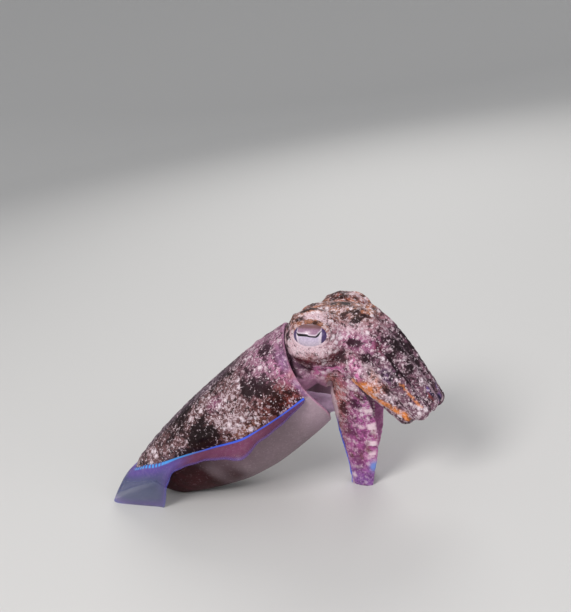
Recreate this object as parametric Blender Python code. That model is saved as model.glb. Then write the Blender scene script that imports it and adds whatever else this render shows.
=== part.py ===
# Broadclub cuttlefish, a still life-size model. It rests on the rear of its belly and on its two
# lower arms, the head raised and turned a little to its right. Metres, +Z up. The mantle's axis lies
# along X with the tail at -X, and the floor is z = 0. The sizes below are worked out round the
# mantle's own mid-plane, and every piece is then moved by originShift, which sets the origin on the
# floor under the middle of the whole animal.

import math

import bmesh
import bpy
import numpy as np
from mathutils import Matrix

originShift = (0.0046, 0.0015, 0.0)

# Mantle, measured along its own axis from the tail tip
mantleLength = 0.144
mantlePitch = 33.5
tailTip = (-0.0987, 0.0, 0.0215)
meshGap = 0.0003
mantleRings = 27
mantleSides = 36
tailCrowding = 1.7
# share of the length, half width, height of the back, of the belly and of the fin line
mantleStations = (
    (0.00, 0.0000, 0.0000, 0.0000, 0.0000),
    (0.08, 0.0115, 0.0044, -0.0340, -0.0006),
    (0.16, 0.0180, 0.0064, -0.0403, -0.0035),
    (0.30, 0.0248, 0.0087, -0.0492, -0.0085),
    (0.45, 0.0302, 0.0101, -0.0556, -0.0150),
    (0.62, 0.0338, 0.0107, -0.0580, -0.0228),
    (0.82, 0.0352, 0.0106, -0.0572, -0.0258),
    (1.00, 0.0338, 0.0078, -0.0545, -0.0268),
)
backRoundness = 0.95
bellyRoundness = 0.85
# Front margin as shares of the length: over the back, at the sides, under the belly
marginBack = 1.0
marginSide = 0.945
marginBelly = 0.87
# The shallow opening that the neck and the funnel come out of
openingFloor = 0.1235
openingTilt = 0.30
openingCentre = -0.0247
openingScale = 0.86
lipScale = 0.93

# Fins: share of the mantle's length, then how far the margin stands out, drops and sweeps back
finStations = (
    (0.925, 0.0030, 0.0010, 0.0000),
    (0.860, 0.0070, 0.0010, 0.0000),
    (0.780, 0.0115, 0.0010, 0.0000),
    (0.690, 0.0130, 0.0020, 0.0005),
    (0.600, 0.0115, 0.0080, 0.0010),
    (0.520, 0.0130, 0.0030, 0.0010),
    (0.420, 0.0140, 0.0000, 0.0015),
    (0.300, 0.0130, 0.0020, 0.0025),
    (0.220, 0.0070, 0.0130, 0.0020),
    (0.140, 0.0020, 0.0320, 0.0015),
    (0.070, 0.0020, 0.0300, 0.0100),
    (0.000, 0.0030, 0.0215, 0.0200),
)
finColumns = 46
finRows = 5
finRootHalf = 0.0009
finEdgeHalf = 0.0003
finRootGap = 0.0005

# Head, in its own frame: forward, left and up from the point midway between the eyes
headPoint = (0.0471, -0.0060, 0.1052)
headTurn = 26.0
headRoll = 5.0
headSides = 28
headRings = 16
orbitCentre = (0.0000, 0.0195, -0.0010)
orbitRadii = (0.0195, 0.0165, 0.0185)
# Core of the head: forward, up, pitch, half width, half height, share of the head's turn
headStations = (
    (-0.0125, -0.0122, 8.0, 0.0215, 0.0250, 0.35),
    (0.0030, -0.0112, -15.0, 0.0233, 0.0278, 1.0),
    (0.0155, -0.0108, -38.0, 0.0225, 0.0278, 1.0),
)
neckHalfWidth = 0.0256
neckHalfHeight = 0.0160
neckCentre = -0.0160

# Eyes: middle of the opening (forward, up), direction it faces, radii and depth under the skin
eyePlace = (0.0050, 0.0062)
eyeAxis = (0.24, 0.92, 0.30)
eyeRadii = (0.0112, 0.0080, 0.0090)
eyeDepth = 0.0060
eyeRings = 10
eyeSides = 20

# Lids: how far the soft ring stands before, behind, above and below the eye's middle, and its
# half thickness over and under the eye
lidReach = (0.0104, 0.0100, 0.0071, 0.0068)
lidUpper = 0.0019
lidLower = 0.0012
lidSteps = 22
lidSides = 6

# Low ridges of skin over each fin and on the brow over each eye: half length, width and height
papillaShares = (0.22, 0.33, 0.44, 0.56, 0.68, 0.80)
papillaAngle = 20.0
papillaSize = (0.0046, 0.0017, 0.0013)
browPlaces = ((-0.0105, 0.0215, 0.0125), (-0.0010, 0.0185, 0.0170), (0.0085, 0.0175, 0.0150))
browSize = (0.0026, 0.0015, 0.0014)
papillaRings = 5
papillaSides = 7

# Mouth: the low soft dome in the middle of the ring of arms
mouthRadius = 0.0068
mouthRise = 0.45

# Funnel, under the neck
funnelRoot = -0.0418
funnelRootSize = (0.0145, 0.0092)
funnelMouth = (0.0420, -0.0035, 0.0525)
funnelMouthRadius = 0.0050
funnelSides = 20

# Ring of arms on the front of the head
crownBack = 0.0228
crownSide = 0.0165
crownTrim = 0.0020
# Arms: angle from the top of the ring, how far each runs straight out, end point and end direction
# (forward, outward, up), then half widths and the outer and inner half thickness along it
armSpecs = {
    "1": dict(angle=22, reach=0.016, end=(0.0648, 0.0052, -0.0425), aim=(0.530, -0.05, -0.847), pull=0.020,
              width=(0.0058, 0.0054, 0.0050, 0.0045), outer=(0.0052, 0.0048, 0.0040, 0.0030),
              inner=(0.0044, 0.0036, 0.0027, 0.0020)),
    "2": dict(angle=60, reach=0.018, end=(0.0612, 0.0132, -0.0458), aim=(0.560, -0.08, -0.826), pull=0.018,
              width=(0.0070, 0.0063, 0.0058, 0.0055), outer=(0.0052, 0.0048, 0.0040, 0.0030),
              inner=(0.0044, 0.0036, 0.0027, 0.0020)),
    "3": dict(angle=99, reach=0.018, end=(0.0500, 0.0126, -0.0505), aim=(0.560, -0.14, -0.820), pull=0.016,
              width=(0.0076, 0.0071, 0.0066, 0.0058), outer=(0.0052, 0.0048, 0.0040, 0.0030),
              inner=(0.0044, 0.0036, 0.0027, 0.0020)),
    "4": dict(angle=148, reach=0.0135, end=(0.0088, 0.0080, 0.0), aim=(-0.15, 0.05, -0.988), pull=0.035,
              width=(0.0086, 0.0158, 0.0150, 0.0076), outer=(0.0044, 0.0043, 0.0038, 0.0024),
              inner=(0.0040, 0.0037, 0.0032, 0.0020)),
}
armShares = {"1": (0.0, 0.42, 0.75, 1.0), "2": (0.0, 0.42, 0.75, 1.0), "3": (0.0, 0.42, 0.75, 1.0),
             "4": (0.0, 0.29, 0.57, 1.0)}
footSink = 0.0010
leftFootSpread = 0.0010
leftFootBack = 0.0072
bundleEnd = (0.0565, 0.0, -0.0485)
curlRadius = 0.0032
curlAngle = 98.0
armRings = 12
curlRings = 5
armSides = 12
tipHalf = 0.0009
armSplit = 6
armCutGap = 0.00035

# Suckers, in two rows on the inner face of each arm: shares of the arm's length where they sit, how
# far each row stands from the middle, radius and height at the root and at the tip, and how deep
# each is set in
suckerShares = {"base": (0.17, 0.30, 0.43), "tip": (0.62, 0.71, 0.80, 0.88, 0.95)}
suckerCurlShares = (1.25, 1.60)
suckerRow = 0.42
suckerRadius = (0.0014, 0.0006)
suckerHeight = (0.0010, 0.0005)
suckerSink = 0.45
suckerClearance = 0.0006
suckerSides = 6


# Small helpers on numpy arrays

def unit(v):
    v = np.asarray(v, float)
    return v / np.linalg.norm(v, axis=-1, keepdims=True)


def ease(at, knots, values):
    # smooth curve through a few named sizes, with no overshoot between them
    knots = np.asarray(knots, float)
    values = np.asarray(values, float)
    rise = np.diff(values) / np.diff(knots)
    slope = np.empty_like(values)
    slope[0] = rise[0]
    slope[-1] = rise[-1]
    product = rise[:-1] * rise[1:]
    total = np.where(product > 0, rise[:-1] + rise[1:], 1.0)
    slope[1:-1] = np.where(product > 0, 2 * product / total, 0.0)
    at = np.clip(at, knots[0], knots[-1])
    cell = np.clip(np.searchsorted(knots, at, side="right") - 1, 0, len(knots) - 2)
    span = knots[cell + 1] - knots[cell]
    t = (at - knots[cell]) / span
    return ((2 * t**3 - 3 * t**2 + 1) * values[cell] + (t**3 - 2 * t**2 + t) * span * slope[cell]
            + (3 * t**2 - 2 * t**3) * values[cell + 1] + (t**3 - t**2) * span * slope[cell + 1])


def bezier(points, t):
    a, b, c, d = (np.asarray(p, float) for p in points)
    t = np.asarray(t)[:, None]
    return (1 - t)**3 * a + 3 * (1 - t)**2 * t * b + 3 * (1 - t) * t**2 * c + t**3 * d


def signedPower(x, power):
    return np.sign(x) * np.abs(x)**power


# Frames

pitch = math.radians(mantlePitch)
mantleAxis = np.array([math.cos(pitch), 0.0, math.sin(pitch)])
mantleUp = np.array([-math.sin(pitch), 0.0, math.cos(pitch)])
sideways = np.array([0.0, 1.0, 0.0])
turn = math.radians(headTurn)
headForward = np.array([math.cos(turn), -math.sin(turn), 0.0])
levelLeft = np.array([math.sin(turn), math.cos(turn), 0.0])
upward = np.array([0.0, 0.0, 1.0])
roll = math.radians(headRoll)
headLeft = math.cos(roll) * levelLeft - math.sin(roll) * upward
headUp = math.cos(roll) * upward + math.sin(roll) * levelLeft


def inMantle(s, y, n):
    s, y, n = (np.asarray(v, float)[..., None] for v in (s, y, n))
    return np.array(tailTip) + s * mantleAxis + y * sideways + n * mantleUp


def inHead(f, left, up):
    f, left, up = (np.asarray(v, float)[..., None] for v in (f, left, up))
    return np.array(headPoint) + f * headForward + left * headLeft + up * headUp


def mantleSizes(share):
    # width and heights at a share of the length; the square root rounds the tail's end
    knots = np.sqrt([row[0] for row in mantleStations])
    at = np.sqrt(np.clip(share, 0.0, 1.0))
    return [ease(at, knots, [row[k] for row in mantleStations]) for k in (1, 2, 3, 4)]


def mantleSection(share, angle):
    # sideways and up offsets on the mantle's skin; angle 0 is the left fin line, 90 the back
    width, back, belly, line = mantleSizes(share)
    power = np.where(np.sin(angle) > 0, backRoundness, bellyRoundness)
    height = np.where(np.sin(angle) > 0, back - line, line - belly)
    return width * signedPower(np.cos(angle), power), line + height * signedPower(np.sin(angle), power)


def marginShare(angle):
    rise = np.sin(angle)
    top = (marginBack - marginSide) * np.clip(rise, 0, 1)**2
    bottom = (marginSide - marginBelly) * np.clip(-rise, 0, 1)**4
    return marginSide + top - bottom


# Meshes and materials

def clearScene():
    for thing in list(bpy.data.objects):
        bpy.data.objects.remove(thing)


def makeCollection(name):
    made = bpy.data.collections.new(name)
    bpy.context.scene.collection.children.link(made)
    return made


def makeMaterial(name, colour, roughness):
    made = bpy.data.materials.new(name)
    made.use_nodes = True
    shader = made.node_tree.nodes["Principled BSDF"]
    shader.inputs["Base Color"].default_value = (*colour, 1.0)
    shader.inputs["Roughness"].default_value = roughness
    return made


def addMesh(name, points, faces, material, collection):
    mesh = bpy.data.meshes.new(name)
    mesh.from_pydata(np.asarray(points).tolist(), [], [tuple(face) for face in faces])
    work = bmesh.new()
    work.from_mesh(mesh)
    bmesh.ops.recalc_face_normals(work, faces=work.faces)
    bmesh.ops.transform(work, matrix=Matrix.Translation(originShift), verts=work.verts)
    work.to_mesh(mesh)
    work.free()
    mesh.shade_smooth()
    mesh.set_sharp_from_angle(angle=math.radians(50))
    made = bpy.data.objects.new(name, mesh)
    collection.objects.link(made)
    if material is not None:
        mesh.materials.append(material)
    return made


def loft(rings):
    # closed skin through rings of points, with a fan over each end
    count, sides = rings.shape[:2]
    points = list(rings.reshape(-1, 3))
    faces = []
    for i in range(count - 1):
        for j in range(sides):
            k = (j + 1) % sides
            faces.append((i * sides + j, i * sides + k, (i + 1) * sides + k, (i + 1) * sides + j))
    for first in (0, (count - 1) * sides):
        points.append(rings.reshape(-1, 3)[first:first + sides].mean(axis=0))
        middle = len(points) - 1
        for j in range(sides):
            faces.append((middle, first + j, first + (j + 1) % sides))
    return points, faces


def ringLoop(rings):
    # closed skin through rings that come round to the first again
    count, sides = rings.shape[:2]
    faces = []
    for i in range(count):
        for j in range(sides):
            a, b = i * sides + j, i * sides + (j + 1) % sides
            c, d = ((i + 1) % count) * sides + (j + 1) % sides, ((i + 1) % count) * sides + j
            faces.append((a, b, c, d))
    return rings.reshape(-1, 3), faces


def ellipsoidRings(centre, axes, radii, rings, sides):
    lat = np.linspace(0.06, math.pi - 0.06, rings)[:, None]
    lon = np.linspace(0, 2 * math.pi, sides, endpoint=False)[None, :]
    along = (radii[0] * np.sin(lat) * np.cos(lon))[..., None] * axes[0]
    across = (radii[1] * np.cos(lat) * np.ones_like(lon))[..., None] * axes[1]
    above = (radii[2] * np.sin(lat) * np.sin(lon))[..., None] * axes[2]
    return np.asarray(centre) + along + across + above


def applyBoolean(target, operation, pieces, collection, solver="EXACT"):
    # one Boolean on a collection of closed pieces, applied, with the pieces removed after it
    gathered = bpy.data.collections.new("pieces of " + target.name)
    bpy.context.scene.collection.children.link(gathered)
    for piece in pieces:
        collection.objects.unlink(piece)
        gathered.objects.link(piece)
    change = target.modifiers.new("join", "BOOLEAN")
    change.operation = operation
    change.operand_type = "COLLECTION"
    change.collection = gathered
    change.solver = solver
    bpy.context.view_layer.update()
    solved = bpy.data.meshes.new_from_object(target.evaluated_get(bpy.context.evaluated_depsgraph_get()))
    target.modifiers.remove(change)
    target.data = solved
    for piece in pieces:
        bpy.data.objects.remove(piece)
    bpy.data.collections.remove(gathered)
    keepLargest(target)


def keepLargest(target):
    # keeps only the largest closed surface of a joined node
    work = bmesh.new()
    work.from_mesh(target.data)
    bmesh.ops.remove_doubles(work, verts=work.verts, dist=0.000002)
    left = set(work.faces)
    best = []
    while left:
        group = [left.pop()]
        for face in group:
            for edge in face.edges:
                for other in edge.link_faces:
                    if other in left:
                        left.remove(other)
                        group.append(other)
        if sum(face.calc_area() for face in group) > sum(face.calc_area() for face in best):
            best = group
    kept = set(best)
    bmesh.ops.delete(work, geom=[face for face in work.faces if face not in kept], context="FACES")
    loose = [vert for vert in work.verts if not vert.link_faces]
    bmesh.ops.delete(work, geom=loose, context="VERTS")
    work.to_mesh(target.data)
    work.free()
    target.data.shade_smooth()
    target.data.set_sharp_from_angle(angle=math.radians(50))


def addPapilla(point, axes, size, collection):
    # low rounded ridge, a little over half of it sunk into the skin
    centre = point - 0.15 * size[2] * axes[2]
    rings = ellipsoidRings(centre, (axes[1], axes[0], axes[2]), (size[1], size[0], size[2]),
                           papillaRings, papillaSides)
    return addMesh("papilla", *loft(rings), None, collection)


# Mantle

def openingPoint(y, n, lift=0.0):
    # point on the slanting floor of the mantle's opening
    return inMantle(openingFloor + openingTilt * (n - openingCentre) + lift, y, n)


def buildMantle(materials, collection):
    angle = np.linspace(0, 2 * math.pi, mantleSides, endpoint=False)
    along = np.linspace(0, 1, mantleRings + 1)[1:, None]**tailCrowding
    margin = marginShare(angle)
    share = along * margin
    y, n = mantleSection(share, angle)
    rings = [inMantle(share[i] * mantleLength, y[i], n[i]) for i in range(mantleRings)]
    yEdge, nEdge = y[-1], n[-1]
    for scale, back in ((lipScale + 0.04, -0.0007), (lipScale, 0.0004)):
        nRing = openingCentre + scale * (nEdge - openingCentre)
        rings.append(inMantle(margin * mantleLength - back, yEdge * scale, nRing))
    nRing = openingCentre + openingScale * (nEdge - openingCentre)
    rings.append(openingPoint(yEdge * openingScale, nRing))
    rings = np.array(rings)
    rings[..., 2] = np.maximum(rings[..., 2], 0.0)
    mantle = addMesh("mantle", *loft(rings), materials["mantle_skin"], collection)
    pieces = []
    for side in (0, 1):
        level = math.radians(abs(180.0 * side - papillaAngle))
        for share in papillaShares:
            near = [np.array(inMantle(mantleLength * at, *mantleSection(at, turned)))
                    for at, turned in ((share, level), (share + 0.02, level), (share, level + 0.05))]
            along, around = unit(near[1] - near[0]), unit(near[2] - near[0])
            normal = unit(np.cross(around, along))
            axes = (along, np.cross(normal, along), normal)
            pieces.append(addPapilla(near[0], axes, papillaSize, collection))
    applyBoolean(mantle, "UNION", pieces, collection)


# Fins

def buildFin(name, side, materials, collection):
    share = finStations[0][0] * np.linspace(1, 0, finColumns)**tailCrowding
    sizes = np.array(finStations)[::-1]
    out, drop, sweep = (ease(share, sizes[:, 0], sizes[:, k]) for k in (1, 2, 3))
    width, back, belly, line = mantleSizes(share)
    root = inMantle(share * mantleLength, side * (width + finRootGap), line)
    edge = root + np.stack([-sweep, side * out, -drop], axis=-1)
    bend = root + np.stack([-0.5 * sweep, side * (0.5 * out + 0.15 * drop), -0.2 * drop], axis=-1)
    across = np.linspace(0, 1, finRows)[None, :, None]
    middle = ((1 - across)**2 * root[:, None] + 2 * across * (1 - across) * bend[:, None]
              + across**2 * edge[:, None])
    normal = unit(np.cross(np.gradient(middle, axis=0), np.gradient(middle, axis=1)))
    normal *= np.sign(np.sum(normal * (mantleUp + side * sideways), axis=-1, keepdims=True))
    normal[:, 0] = mantleUp
    half = (finRootHalf + (finEdgeHalf - finRootHalf) * across**0.6) * normal
    sheets = np.stack([middle + half, middle - half])
    sheets[..., 1] = side * np.maximum(side * sheets[..., 1], meshGap)
    sheets[..., 2] = np.maximum(sheets[..., 2], 0.0)
    sheets = sheets.reshape(-1, 3)
    offset = finColumns * finRows
    faces = []
    for i in range(finColumns - 1):
        for j in range(finRows - 1):
            a = i * finRows + j
            corners = (a, a + 1, a + finRows + 1, a + finRows)
            for trio in ((0, 1, 2), (0, 2, 3)):
                face = tuple(corners[k] for k in trio)
                faces.append(face)
                faces.append(tuple(k + offset for k in face[::-1]))
    rim = [i * finRows for i in range(finColumns)]
    rim += [(finColumns - 1) * finRows + j for j in range(1, finRows)]
    rim += [i * finRows + finRows - 1 for i in range(finColumns - 2, -1, -1)]
    rim += [j for j in range(finRows - 2, 0, -1)]
    for k, first in enumerate(rim):
        second = rim[(k + 1) % len(rim)]
        faces.append((first, second, second + offset))
        faces.append((first, second + offset, first + offset))
    addMesh(name, sheets, faces, materials["fin_membrane"], collection)


# Head and neck

def planePitch(degrees):
    angle = math.radians(degrees)
    forward = math.cos(angle) * headForward + math.sin(angle) * headUp
    above = math.cos(angle) * headUp - math.sin(angle) * headForward
    return forward, above


def crownFrame():
    f, up, degrees = headStations[-1][:3]
    forward, above = planePitch(degrees)
    return inHead(f, 0.0, up), forward, above


def headRingsFromStations():
    # sections from the floor of the mantle's opening to the ring of arms
    tilt = mantleUp + openingTilt * mantleAxis
    rows = [(openingPoint(0.0, neckCentre, meshGap * 1.2), sideways, tilt, neckHalfWidth, neckHalfHeight),
            (inMantle(0.142, 0.0, neckCentre - 0.001), sideways, mantleUp, neckHalfWidth, neckHalfHeight)]
    for f, up, degrees, halfWidth, halfHeight, turned in headStations:
        left = unit((1 - turned) * sideways + turned * headLeft)
        rows.append((inHead(f, 0.0, up), left, planePitch(degrees)[1], halfWidth, halfHeight))
    knots = np.array([0.0, 0.2, 0.45, 0.72, 1.0])
    at = np.linspace(0, 1, headRings)
    centre, left, above = (np.stack([ease(at, knots, [row[k][axis] for row in rows])
                                     for axis in range(3)], axis=-1) for k in (0, 1, 2))
    halfWidth, halfHeight = (ease(at, knots, [row[k] for row in rows]) for k in (3, 4))
    angle = np.linspace(0, 2 * math.pi, headSides, endpoint=False)
    rings = (centre[:, None] + (halfWidth[:, None] * np.cos(angle))[..., None] * left[:, None]
             + (halfHeight[:, None] * np.sin(angle))[..., None] * above[:, None])
    rings[-1] += crownTrim * crownFrame()[1]
    return rings


def lidRings(side):
    # soft ring round the eye, where the eyeball comes out of the orbit
    ball, axes = eyeFrame(side)
    middle = inHead(orbitCentre[0], side * orbitCentre[1], orbitCentre[2])
    basis = np.array(orbitAxes()) / np.array(orbitRadii)[:, None]
    angle = np.linspace(0, 2 * math.pi, lidSteps, endpoint=False)
    before, behind, over, under = lidReach
    along = np.where(np.cos(angle) > 0, before, behind) * np.cos(angle)
    above = np.where(np.sin(angle) > 0, over, under) * np.sin(angle)
    flat = ball + along[:, None] * axes[0] + above[:, None] * axes[2]
    start, step = (flat - middle) @ basis.T, basis @ axes[1]
    a, b, c = step @ step, start @ step, np.sum(start * start, axis=1) - 1
    centre = flat + ((-b + np.sqrt(b * b - a * c)) / a)[:, None] * axes[1]
    radius = lidLower + (lidUpper - lidLower) * (0.5 + 0.5 * np.sin(angle))
    outward = unit(along[:, None] * axes[0] + above[:, None] * axes[2])
    turned = np.linspace(0, 2 * math.pi, lidSides, endpoint=False)
    return (centre[:, None] + (radius[:, None] * np.cos(turned))[..., None] * outward[:, None]
            + (radius[:, None] * np.sin(turned))[..., None] * axes[1])


def eyeFrame(side):
    # centre of the eyeball and its forward, facing and upper directions
    axis = unit(eyeAxis[0] * headForward + side * eyeAxis[1] * headLeft + eyeAxis[2] * headUp)
    f, up = eyePlace
    reach = 1 - ((f - orbitCentre[0]) / orbitRadii[0])**2 - ((up - orbitCentre[2]) / orbitRadii[2])**2
    surface = inHead(f, side * (orbitCentre[1] + orbitRadii[1] * math.sqrt(reach)), up)
    forward = unit(headForward - axis * np.dot(headForward, axis))
    return surface - axis * eyeDepth, (forward, axis, np.cross(forward, axis) * side)


def orbitAxes():
    return headForward, headLeft, headUp


def orbitPoint(side, f, left, up):
    # point on the bulge round the eye in a given direction from its middle, and the way out there
    middle = inHead(orbitCentre[0], side * orbitCentre[1], orbitCentre[2])
    basis = np.array(orbitAxes())
    aim = basis @ (inHead(f, side * left, up) - middle)
    radii = np.array(orbitRadii)
    place = aim / np.linalg.norm(aim / radii)
    return middle + place @ basis, unit((place / radii**2) @ basis)


def crownCutter(collection):
    # block in front of the ring of arms, which leaves the flat face that the arms stand on
    centre, forward, above = crownFrame()
    size = 0.08
    corners = [(0, -1, -1), (0, 1, -1), (0, 1, 1), (0, -1, 1), (1, -1, -1), (1, 1, -1), (1, 1, 1), (1, -1, 1)]
    points = [centre + size * (a * forward + b * headLeft + c * above) for a, b, c in corners]
    faces = [(0, 1, 2, 3), (4, 5, 6, 7), (0, 1, 5, 4), (1, 2, 6, 5), (2, 3, 7, 6), (3, 0, 4, 7)]
    return addMesh("crown cutter", points, faces, None, collection)


def buildHead(materials, collection):
    head = addMesh("head", *loft(headRingsFromStations()), materials["head_skin"], collection)
    pieces = []
    cutters = []
    for side in (-1, 1):
        centre = inHead(orbitCentre[0], side * orbitCentre[1], orbitCentre[2])
        rings = ellipsoidRings(centre, orbitAxes(), orbitRadii, 14, 26)
        pieces.append(addMesh("orbit", *loft(rings), None, collection))
        pieces.append(addMesh("lid", *ringLoop(lidRings(side)), None, collection))
        for f, left, up in browPlaces:
            brow = orbitPoint(side, f, left, up)
            axes = (headForward, unit(np.cross(brow[1], headForward)), brow[1])
            pieces.append(addPapilla(brow[0], axes, browSize, collection))
        ball, axes = eyeFrame(side)
        wider = [radius + meshGap for radius in (eyeRadii[0], eyeRadii[2], eyeRadii[1])]
        socket = ellipsoidRings(ball, axes, wider, eyeRings, eyeSides)
        cutters.append(addMesh("socket", *loft(socket), None, collection))
    applyBoolean(head, "UNION", pieces, collection, "MANIFOLD")
    cutters.append(crownCutter(collection))
    applyBoolean(head, "DIFFERENCE", cutters, collection, "MANIFOLD")
    centre, forward, above = crownFrame()
    mouth = ellipsoidRings(centre, (headLeft, forward, above),
                           (mouthRadius, mouthRadius * mouthRise, mouthRadius), 8, 14)
    pieces = [addMesh("mouth", *loft(mouth), None, collection)]
    applyBoolean(head, "UNION", pieces, collection, "MANIFOLD")


def buildEye(name, side, materials, collection):
    ball, axes = eyeFrame(side)
    rings = ellipsoidRings(ball, axes, (eyeRadii[0], eyeRadii[2], eyeRadii[1]), eyeRings, eyeSides)
    addMesh(name, *loft(rings), materials["eye_gloss"], collection)


# Funnel

def buildFunnel(materials, collection):
    angle = np.linspace(0, 2 * math.pi, funnelSides, endpoint=False)
    root = openingPoint(0.0, funnelRoot, meshGap * 1.2)
    mouth = np.array(funnelMouth)
    tilt = mantleUp + openingTilt * mantleAxis
    aim = unit(mouth - root)
    above = unit(upward - aim * np.dot(upward, aim))
    left = np.cross(above, aim)
    rings = []
    for t in (0.0, 0.3, 0.6, 0.85, 1.0):
        wide = funnelRootSize[0] + (funnelMouthRadius - funnelRootSize[0]) * t**0.8
        high = funnelRootSize[1] + (funnelMouthRadius - funnelRootSize[1]) * t**0.8
        across = (1 - t) * sideways + t * left
        up = (1 - t) * tilt + t * above
        centre = root + (mouth - root) * t
        rings.append(centre + (wide * np.cos(angle))[:, None] * across + (high * np.sin(angle))[:, None] * up)
    for radius, deep in ((0.0036, 0.0), (0.0028, 0.004)):
        rings.append(mouth - deep * aim + (radius * np.cos(angle))[:, None] * left
                     + (radius * np.sin(angle))[:, None] * above)
    addMesh("funnel", *loft(np.array(rings)), materials["funnel_skin"], collection)


# Arms

def armPath(number, side):
    # centre line, direction, outward and sideways vectors of one arm, root to curled tip
    spec = armSpecs[number]
    centre, forward, above = crownFrame()
    angle = math.radians(spec["angle"])
    lateral = side * headLeft
    start = (centre + crownBack * math.cos(angle) * above + crownSide * math.sin(angle) * lateral
             + meshGap * 1.2 * forward)
    f, out, up = spec["end"]
    end = inHead(f, side * out, up)
    aim = unit(spec["aim"][0] * headForward + spec["aim"][1] * lateral + spec["aim"][2] * headUp)
    if number == "4":
        out += leftFootSpread * (side > 0)
        f -= leftFootBack * (side > 0)
        end = np.array(headPoint) + f * headForward + side * out * levelLeft
        end[2] = -footSink
        lateral = side * levelLeft
        aim = unit(spec["aim"][0] * headForward + spec["aim"][1] * lateral + spec["aim"][2] * upward)
    control = (start, start + spec["reach"] * forward, end - spec["pull"] * aim, end)
    t = np.linspace(0, 1, armRings)
    path = bezier(control, t)
    fine = bezier(control, np.linspace(0, 1, 10 * armRings - 9))
    direction = unit(np.gradient(fine, axis=0))[::10]
    direction[0] = forward
    firstOut = unit(crownSide * math.cos(angle) * above + crownBack * math.sin(angle) * lateral)
    if number == "4":
        lastOut = lateral
    else:
        inward = inHead(*bundleEnd) - end
        lastOut = -unit(inward - aim * np.dot(inward, aim))
    blend = ease(t, (0.0, 0.5, 1.0), (0.0, 0.75, 1.0) if number == "4" else (0.0, 0.5, 1.0))[:, None]
    outward = (1 - blend) * firstOut + blend * lastOut
    outward = unit(outward - direction * np.sum(outward * direction, axis=1, keepdims=True))
    share = t.copy()
    if number != "4":
        bend = np.radians(np.linspace(0, curlAngle, curlRings + 1)[1:])[:, None]
        turnOut = outward[-1]
        curl = np.sin(bend) * direction[-1] - (1 - np.cos(bend)) * turnOut
        path = np.vstack([path, end + curlRadius * curl])
        outward = np.vstack([outward, np.cos(bend) * turnOut + np.sin(bend) * direction[-1]])
        direction = np.vstack([direction, np.cos(bend) * direction[-1] - np.sin(bend) * turnOut])
        share = np.concatenate([share, 1 + np.linspace(0, 1, curlRings + 1)[1:]])
    return path, direction, outward, share


def armSizes(number, share):
    spec = armSpecs[number]
    knots = armShares[number] + (2.0,)
    return [ease(share, knots, spec[key] + (tipHalf,)) for key in ("width", "outer", "inner")]


def armSkin(number, side):
    path, direction, outward, share = armPath(number, side)
    width, outer, inner = (size[:, None] for size in armSizes(number, share))
    across = np.cross(direction, outward)
    angle = np.linspace(0, 2 * math.pi, armSides, endpoint=False)[None, :]
    thick = np.where(np.sin(angle) > 0, outer, inner)
    sharp = 1.5 if number == "4" else 1.0
    return (path[:, None] + (width * np.cos(angle))[..., None] * across[:, None]
            + (thick * signedPower(np.sin(angle), sharp))[..., None] * outward[:, None])


def insideArm(points, number, side):
    # whether each point is within an arm's skin or nearly touches it
    path, direction, outward, share = armPath(number, side)
    width, outer, inner = armSizes(number, share)
    offset = points[:, None] - path
    nearest = np.argmin(np.linalg.norm(offset, axis=2), axis=1)
    offset = offset[np.arange(len(points)), nearest]
    across = np.sum(offset * np.cross(direction, outward)[nearest], axis=1)
    out = np.sum(offset * outward[nearest], axis=1)
    along = np.sum(offset * direction[nearest], axis=1)
    thick = np.where(out > 0, outer[nearest], inner[nearest])
    reach = (across / (width[nearest] + suckerClearance))**2 + (out / (thick + suckerClearance))**2
    return (reach < 1) & (np.abs(along) < 0.004)


def suckerRings(number, side, share, row, rng):
    # short cup: a ring set in under the skin, a wider rim, and a dimple
    path, direction, outward, shares = armPath(number, side)
    centre, along, out = (np.array([np.interp(share, shares, field[:, k]) for k in range(3)])
                          for field in (path, direction, outward))
    across = np.cross(along, out)
    width, outer, inner = (size[0] for size in armSizes(number, np.array([share])))
    level = math.sqrt(1 - suckerRow**2)
    thick = inner * level**(1.5 if number == "4" else 1.0)
    normal = unit(row * suckerRow / width * across - level / inner * out)
    point = centre + row * suckerRow * width * across - thick * out
    taper = min(share, 1.0)
    size = 0.9 + 0.2 * rng.random()
    radius = size * (suckerRadius[0] + (suckerRadius[1] - suckerRadius[0]) * taper)
    height = size * (suckerHeight[0] + (suckerHeight[1] - suckerHeight[0]) * taper)
    side1 = unit(np.cross(normal, along))
    side2 = np.cross(normal, side1)
    angle = np.linspace(0, 2 * math.pi, suckerSides, endpoint=False) + rng.random()
    circle = np.cos(angle)[:, None] * side1 + np.sin(angle)[:, None] * side2
    rings = [point - suckerSink * inner * normal + 0.75 * radius * circle,
             point + height * normal + radius * circle]
    return np.array(rings), point + 0.4 * height * normal


def suckerMeshes(number, side, half, collection, rng):
    made = []
    shares = suckerShares[half]
    if half == "tip" and number != "4":
        shares = shares + suckerCurlShares
    others = [(other, way) for other in armSpecs for way in (-1, 1) if (other, way) != (number, side)]
    for share in shares:
        for row in (-1, 1):
            rings, dimple = suckerRings(number, side, share, row, rng)
            if any(insideArm(rings[1], other, way).any() for other, way in others):
                continue
            points, faces = loft(rings)
            points[-1] = dimple
            made.append(addMesh("sucker", points, faces, None, collection))
    return made


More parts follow.
